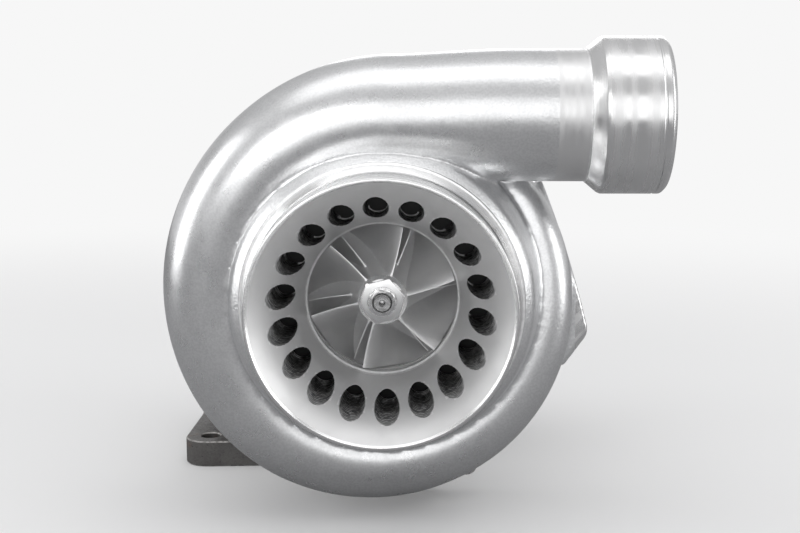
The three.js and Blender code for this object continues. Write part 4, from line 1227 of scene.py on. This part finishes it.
def build_turbine_wheel(material):
    profile = [(0, 192), (12, 192), (30, 193.2), (39.4, 194), (40, 194.4)] + bezier(TURBINE_HUB, 20)
    profile += rounded([(11.5, 241), (11, 244, 1), (8, 245.5, 1), (0, 246)])[1:]
    hub = turned("hub", profile, 120)
    blades = [turbine_blade(360 * k / TURBINE_BLADES) for k in range(TURBINE_BLADES)]
    unite(hub, *blades, hexagon("hex", 7, 245, 249))
    hub.name = "turbine_wheel_finish"
    finish_piece(hub, [material], "rotor", "turbine_wheel", angle=FINE_ANGLE)


def build_shaft(material):
    """The shaft: a drilled socket and turned rings in its end, then threads and journals."""
    profile = [(0, 38.4), (1.25, 37.4), (1.3, 33.3), (1.5, 33), (2, 33), (2.05, 33.6), (2.35, 33.6),
               (2.4, 33), (3.5, 33), (4.1, 33.6)]
    along = 33.9
    while along < 36:
        profile += [(4.18, along), (3.75, along + 0.4)]
        along += 0.8
    profile += [(4.2, 37), (4.2, 121), (7, 121), (7, 139), (6.2, 140), (6.2, 151), (7, 152), (7, 172),
                (11.4, 174), (11.4, 181), (9.4, 181), (9.4, 183.4), (11.4, 183.4), (11.4, 191.7),
                (0, 191.7)]
    finish_piece(turned("shaft", profile, 96), [material], "rotor", "turbine_shaft")


# ---- Stage, light and camera ----

PALE = 0.93
TABLE_COLOUR = (0.31, 0.31, 0.315, 1)
# How bright the studio is to the metal, from straight below (0) to straight above (1).
STUDIO_LEVELS = ((0, 0.2), (0.44, 0.36), (0.53, 0.62), (0.66, 0.45), (0.85, 0.55), (1, 0.65))


def add_softbox(name, place, target, width, height, power):
    light = bpy.data.lights.new(name, "AREA")
    light.shape = "RECTANGLE"
    light.size, light.size_y, light.energy = width, height, power
    box = bpy.data.objects.new(name, light)
    box.location = place
    box.rotation_euler = (Vector(target) - Vector(place)).to_track_quat("-Z", "Y").to_euler()
    bpy.context.scene.collection.objects.link(box)


def build_floor():
    """A wide pale floor. Mirror-like metal sees it darker than the camera does, as a grey table."""
    work = bmesh.new()
    bmesh.ops.create_circle(work, cap_ends=True, segments=96, radius=9)
    mesh = bpy.data.meshes.new("floor")
    work.to_mesh(mesh)
    work.free()
    floor = bpy.data.objects.new("floor", mesh)
    bpy.context.scene.collection.objects.link(floor)
    s = Surface("floor", (0.9, 0.9, 0.9), 0, 0.9)
    s.shader.inputs["Specular IOR Level"].default_value = 0.1
    far = s.scale_range(s.vector("LENGTH", s.place, output=1), 0.25, 1.1, 0, 1)
    haze = s.node("ShaderNodeEmission", (PALE, PALE, PALE, 1)).outputs[0]
    seen = s.node("ShaderNodeMixShader", far, s.shader.outputs[0], haze).outputs[0]
    table = s.node("ShaderNodeBsdfDiffuse", TABLE_COLOUR).outputs[0]
    both = s.node("ShaderNodeMixShader", s.camera_ray(), table, seen).outputs[0]
    s.feed(s.tree.nodes["Material Output"].inputs["Surface"], both)
    mesh.materials.append(s.material)
    return floor


def build_world():
    """Pale to the camera. The metal sees a studio: bright above, grey in front and below."""
    scene_world = bpy.data.worlds.new("studio")
    scene_world.use_nodes = True
    bpy.context.scene.world = scene_world
    sky = Nodes(scene_world.node_tree)
    place = sky.node("ShaderNodeTexCoord").outputs["Generated"]
    up = sky.node("ShaderNodeSeparateXYZ", place).outputs["Z"]
    ramp = sky.node("ShaderNodeValToRGB", sky.node("ShaderNodeMapRange", up, -1).outputs[0])
    ramp.color_ramp.interpolation = "EASE"
    elements = ramp.color_ramp.elements
    elements[0].position, elements[1].position = STUDIO_LEVELS[0][0], STUDIO_LEVELS[1][0]
    for position, _ in STUDIO_LEVELS[2:]:
        elements.new(position)
    for element, (_, level) in zip(elements, STUDIO_LEVELS):
        element.color = (level, level, level * 1.01, 1)
    background = sky.tree.nodes["Background"].inputs
    sky.feed(background["Color"], sky.mix(sky.camera_ray(), ramp.outputs["Color"], (PALE, PALE, PALE)))
    background["Strength"].default_value = 1.0


def build_lights():
    centre = (0.08, -0.1, 0.13)
    add_softbox("overhead", (0.05, -0.30, 1.25), centre, 1.5, 0.7, 2.8)
    add_softbox("front", (0.15, -2.5, 0.75), centre, 3.2, 1.5, 13)
    add_softbox("front_left", (-0.80, -1.5, 0.75), centre, 0.8, 0.6, 3.4)
    add_softbox("left", (-1.35, -0.15, 0.45), centre, 0.6, 1.2, 4.6)
    add_softbox("right", (1.35, -0.35, 0.5), centre, 0.6, 1.1, 4.1)
    add_softbox("back", (0.3, 1.5, 0.7), centre, 1.0, 0.6, 4)


def build_camera():
    camera = bpy.data.objects.new("camera", bpy.data.cameras.new("camera"))
    camera.data.sensor_width = 36
    camera.data.lens = 59.81
    camera.location = (0.08418, -0.79745, 0.23504)
    camera.rotation_euler = (radians(80.91), 0, radians(0.42))
    bpy.context.scene.collection.objects.link(camera)
    bpy.context.scene.camera = camera


# ---- The turbocharger ----

INNER_METAL = {
    "bronze": ("thrust_bearing", "journal_bearing_front", "journal_bearing_rear"),
    "rubber": ("backplate_o_ring", "bearing_housing_o_ring"),
    "stainless": ("heat_shield", "cover_clamp_segment_1", "cover_clamp_segment_2",
                  "cover_clamp_segment_3"),
}


def dress_inner_nodes(looks):
    """Gives every CAD piece that stays in view, inside the housings, its own metal."""
    kinds = {node: kind for kind, nodes in INNER_METAL.items() for node in nodes}
    for name, node in frame["nodes"].items():
        node.data.materials.clear()
        node.data.materials.append(looks[kinds.get(name, "steel")])


def build_all():
    cast = cast_aluminium()
    turned_face = turned_aluminium("turned_aluminium", (0, 0, 0), (0, 1, 0))
    dish_face = turned_aluminium("turned_dish", (0, 0, 0), (0, 1, 0), 0.44, 0.4, 0.008, 0.86)
    collar_face = turned_aluminium("turned_collar", (0, OUTLET_Y, OUTLET_Z), (1, 0, 0), 0.22, 1.1, 0.01)
    bore_face = turned_aluminium("turned_bore", (0, OUTLET_Y, OUTLET_Z), (1, 0, 0), 0.3, 0.5, 0.02)
    milled = milled_aluminium()
    plated = bright_steel("plated_steel", (0.74, 0.74, 0.74), 0.2)
    band = bright_steel("stainless_band", (0.66, 0.655, 0.64), 0.24)
    iron = cast_iron("cast_iron", (0.20, 0.20, 0.205), (0.22, 0.13, 0.08))
    hot_iron = cast_iron("hot_cast_iron", (0.17, 0.165, 0.16), (0.24, 0.13, 0.075), 0.22)
    face = milled_iron()
    looks = {"bronze": plain_metal("bronze", (0.60, 0.42, 0.20), 1.0, 0.25, 0.01),
             "rubber": plain_metal("rubber", (0.025, 0.025, 0.027), 0.0, 0.6, 0.02),
             "stainless": band,
             "steel": plain_metal("ground_steel", (0.55, 0.55, 0.56), 1.0, 0.22, 0.006)}
    dress_inner_nodes(looks)
    build_cover([cast, turned_face, dish_face, collar_face, drilled_aluminium(), bore_face])
    build_wheel([milled, turned_face])
    build_shaft_nut(plated)
    build_shaft(plated)
    build_backplate(turned_face)
    build_strap(band)
    build_clamp_bolt(plated)
    build_clamp_nut(plated)
    build_bearing_housing(iron, face)
    build_turbine_housing(hot_iron, face)
    build_clamp_plates(face)
    build_turbine_wheel(heat_tinted_alloy())
    ring_of_bolts("backplate_bolt", BOLT_RING_FRONT, 115.8, 1, 16, plated)
    ring_of_bolts("turbine_housing_bolt", BOLT_RING_REAR, 166.7, -1, 14, band)


build_all()
build_world()
build_lights()
build_camera()
build_floor()
bpy.context.scene.view_settings.view_transform = "Standard"
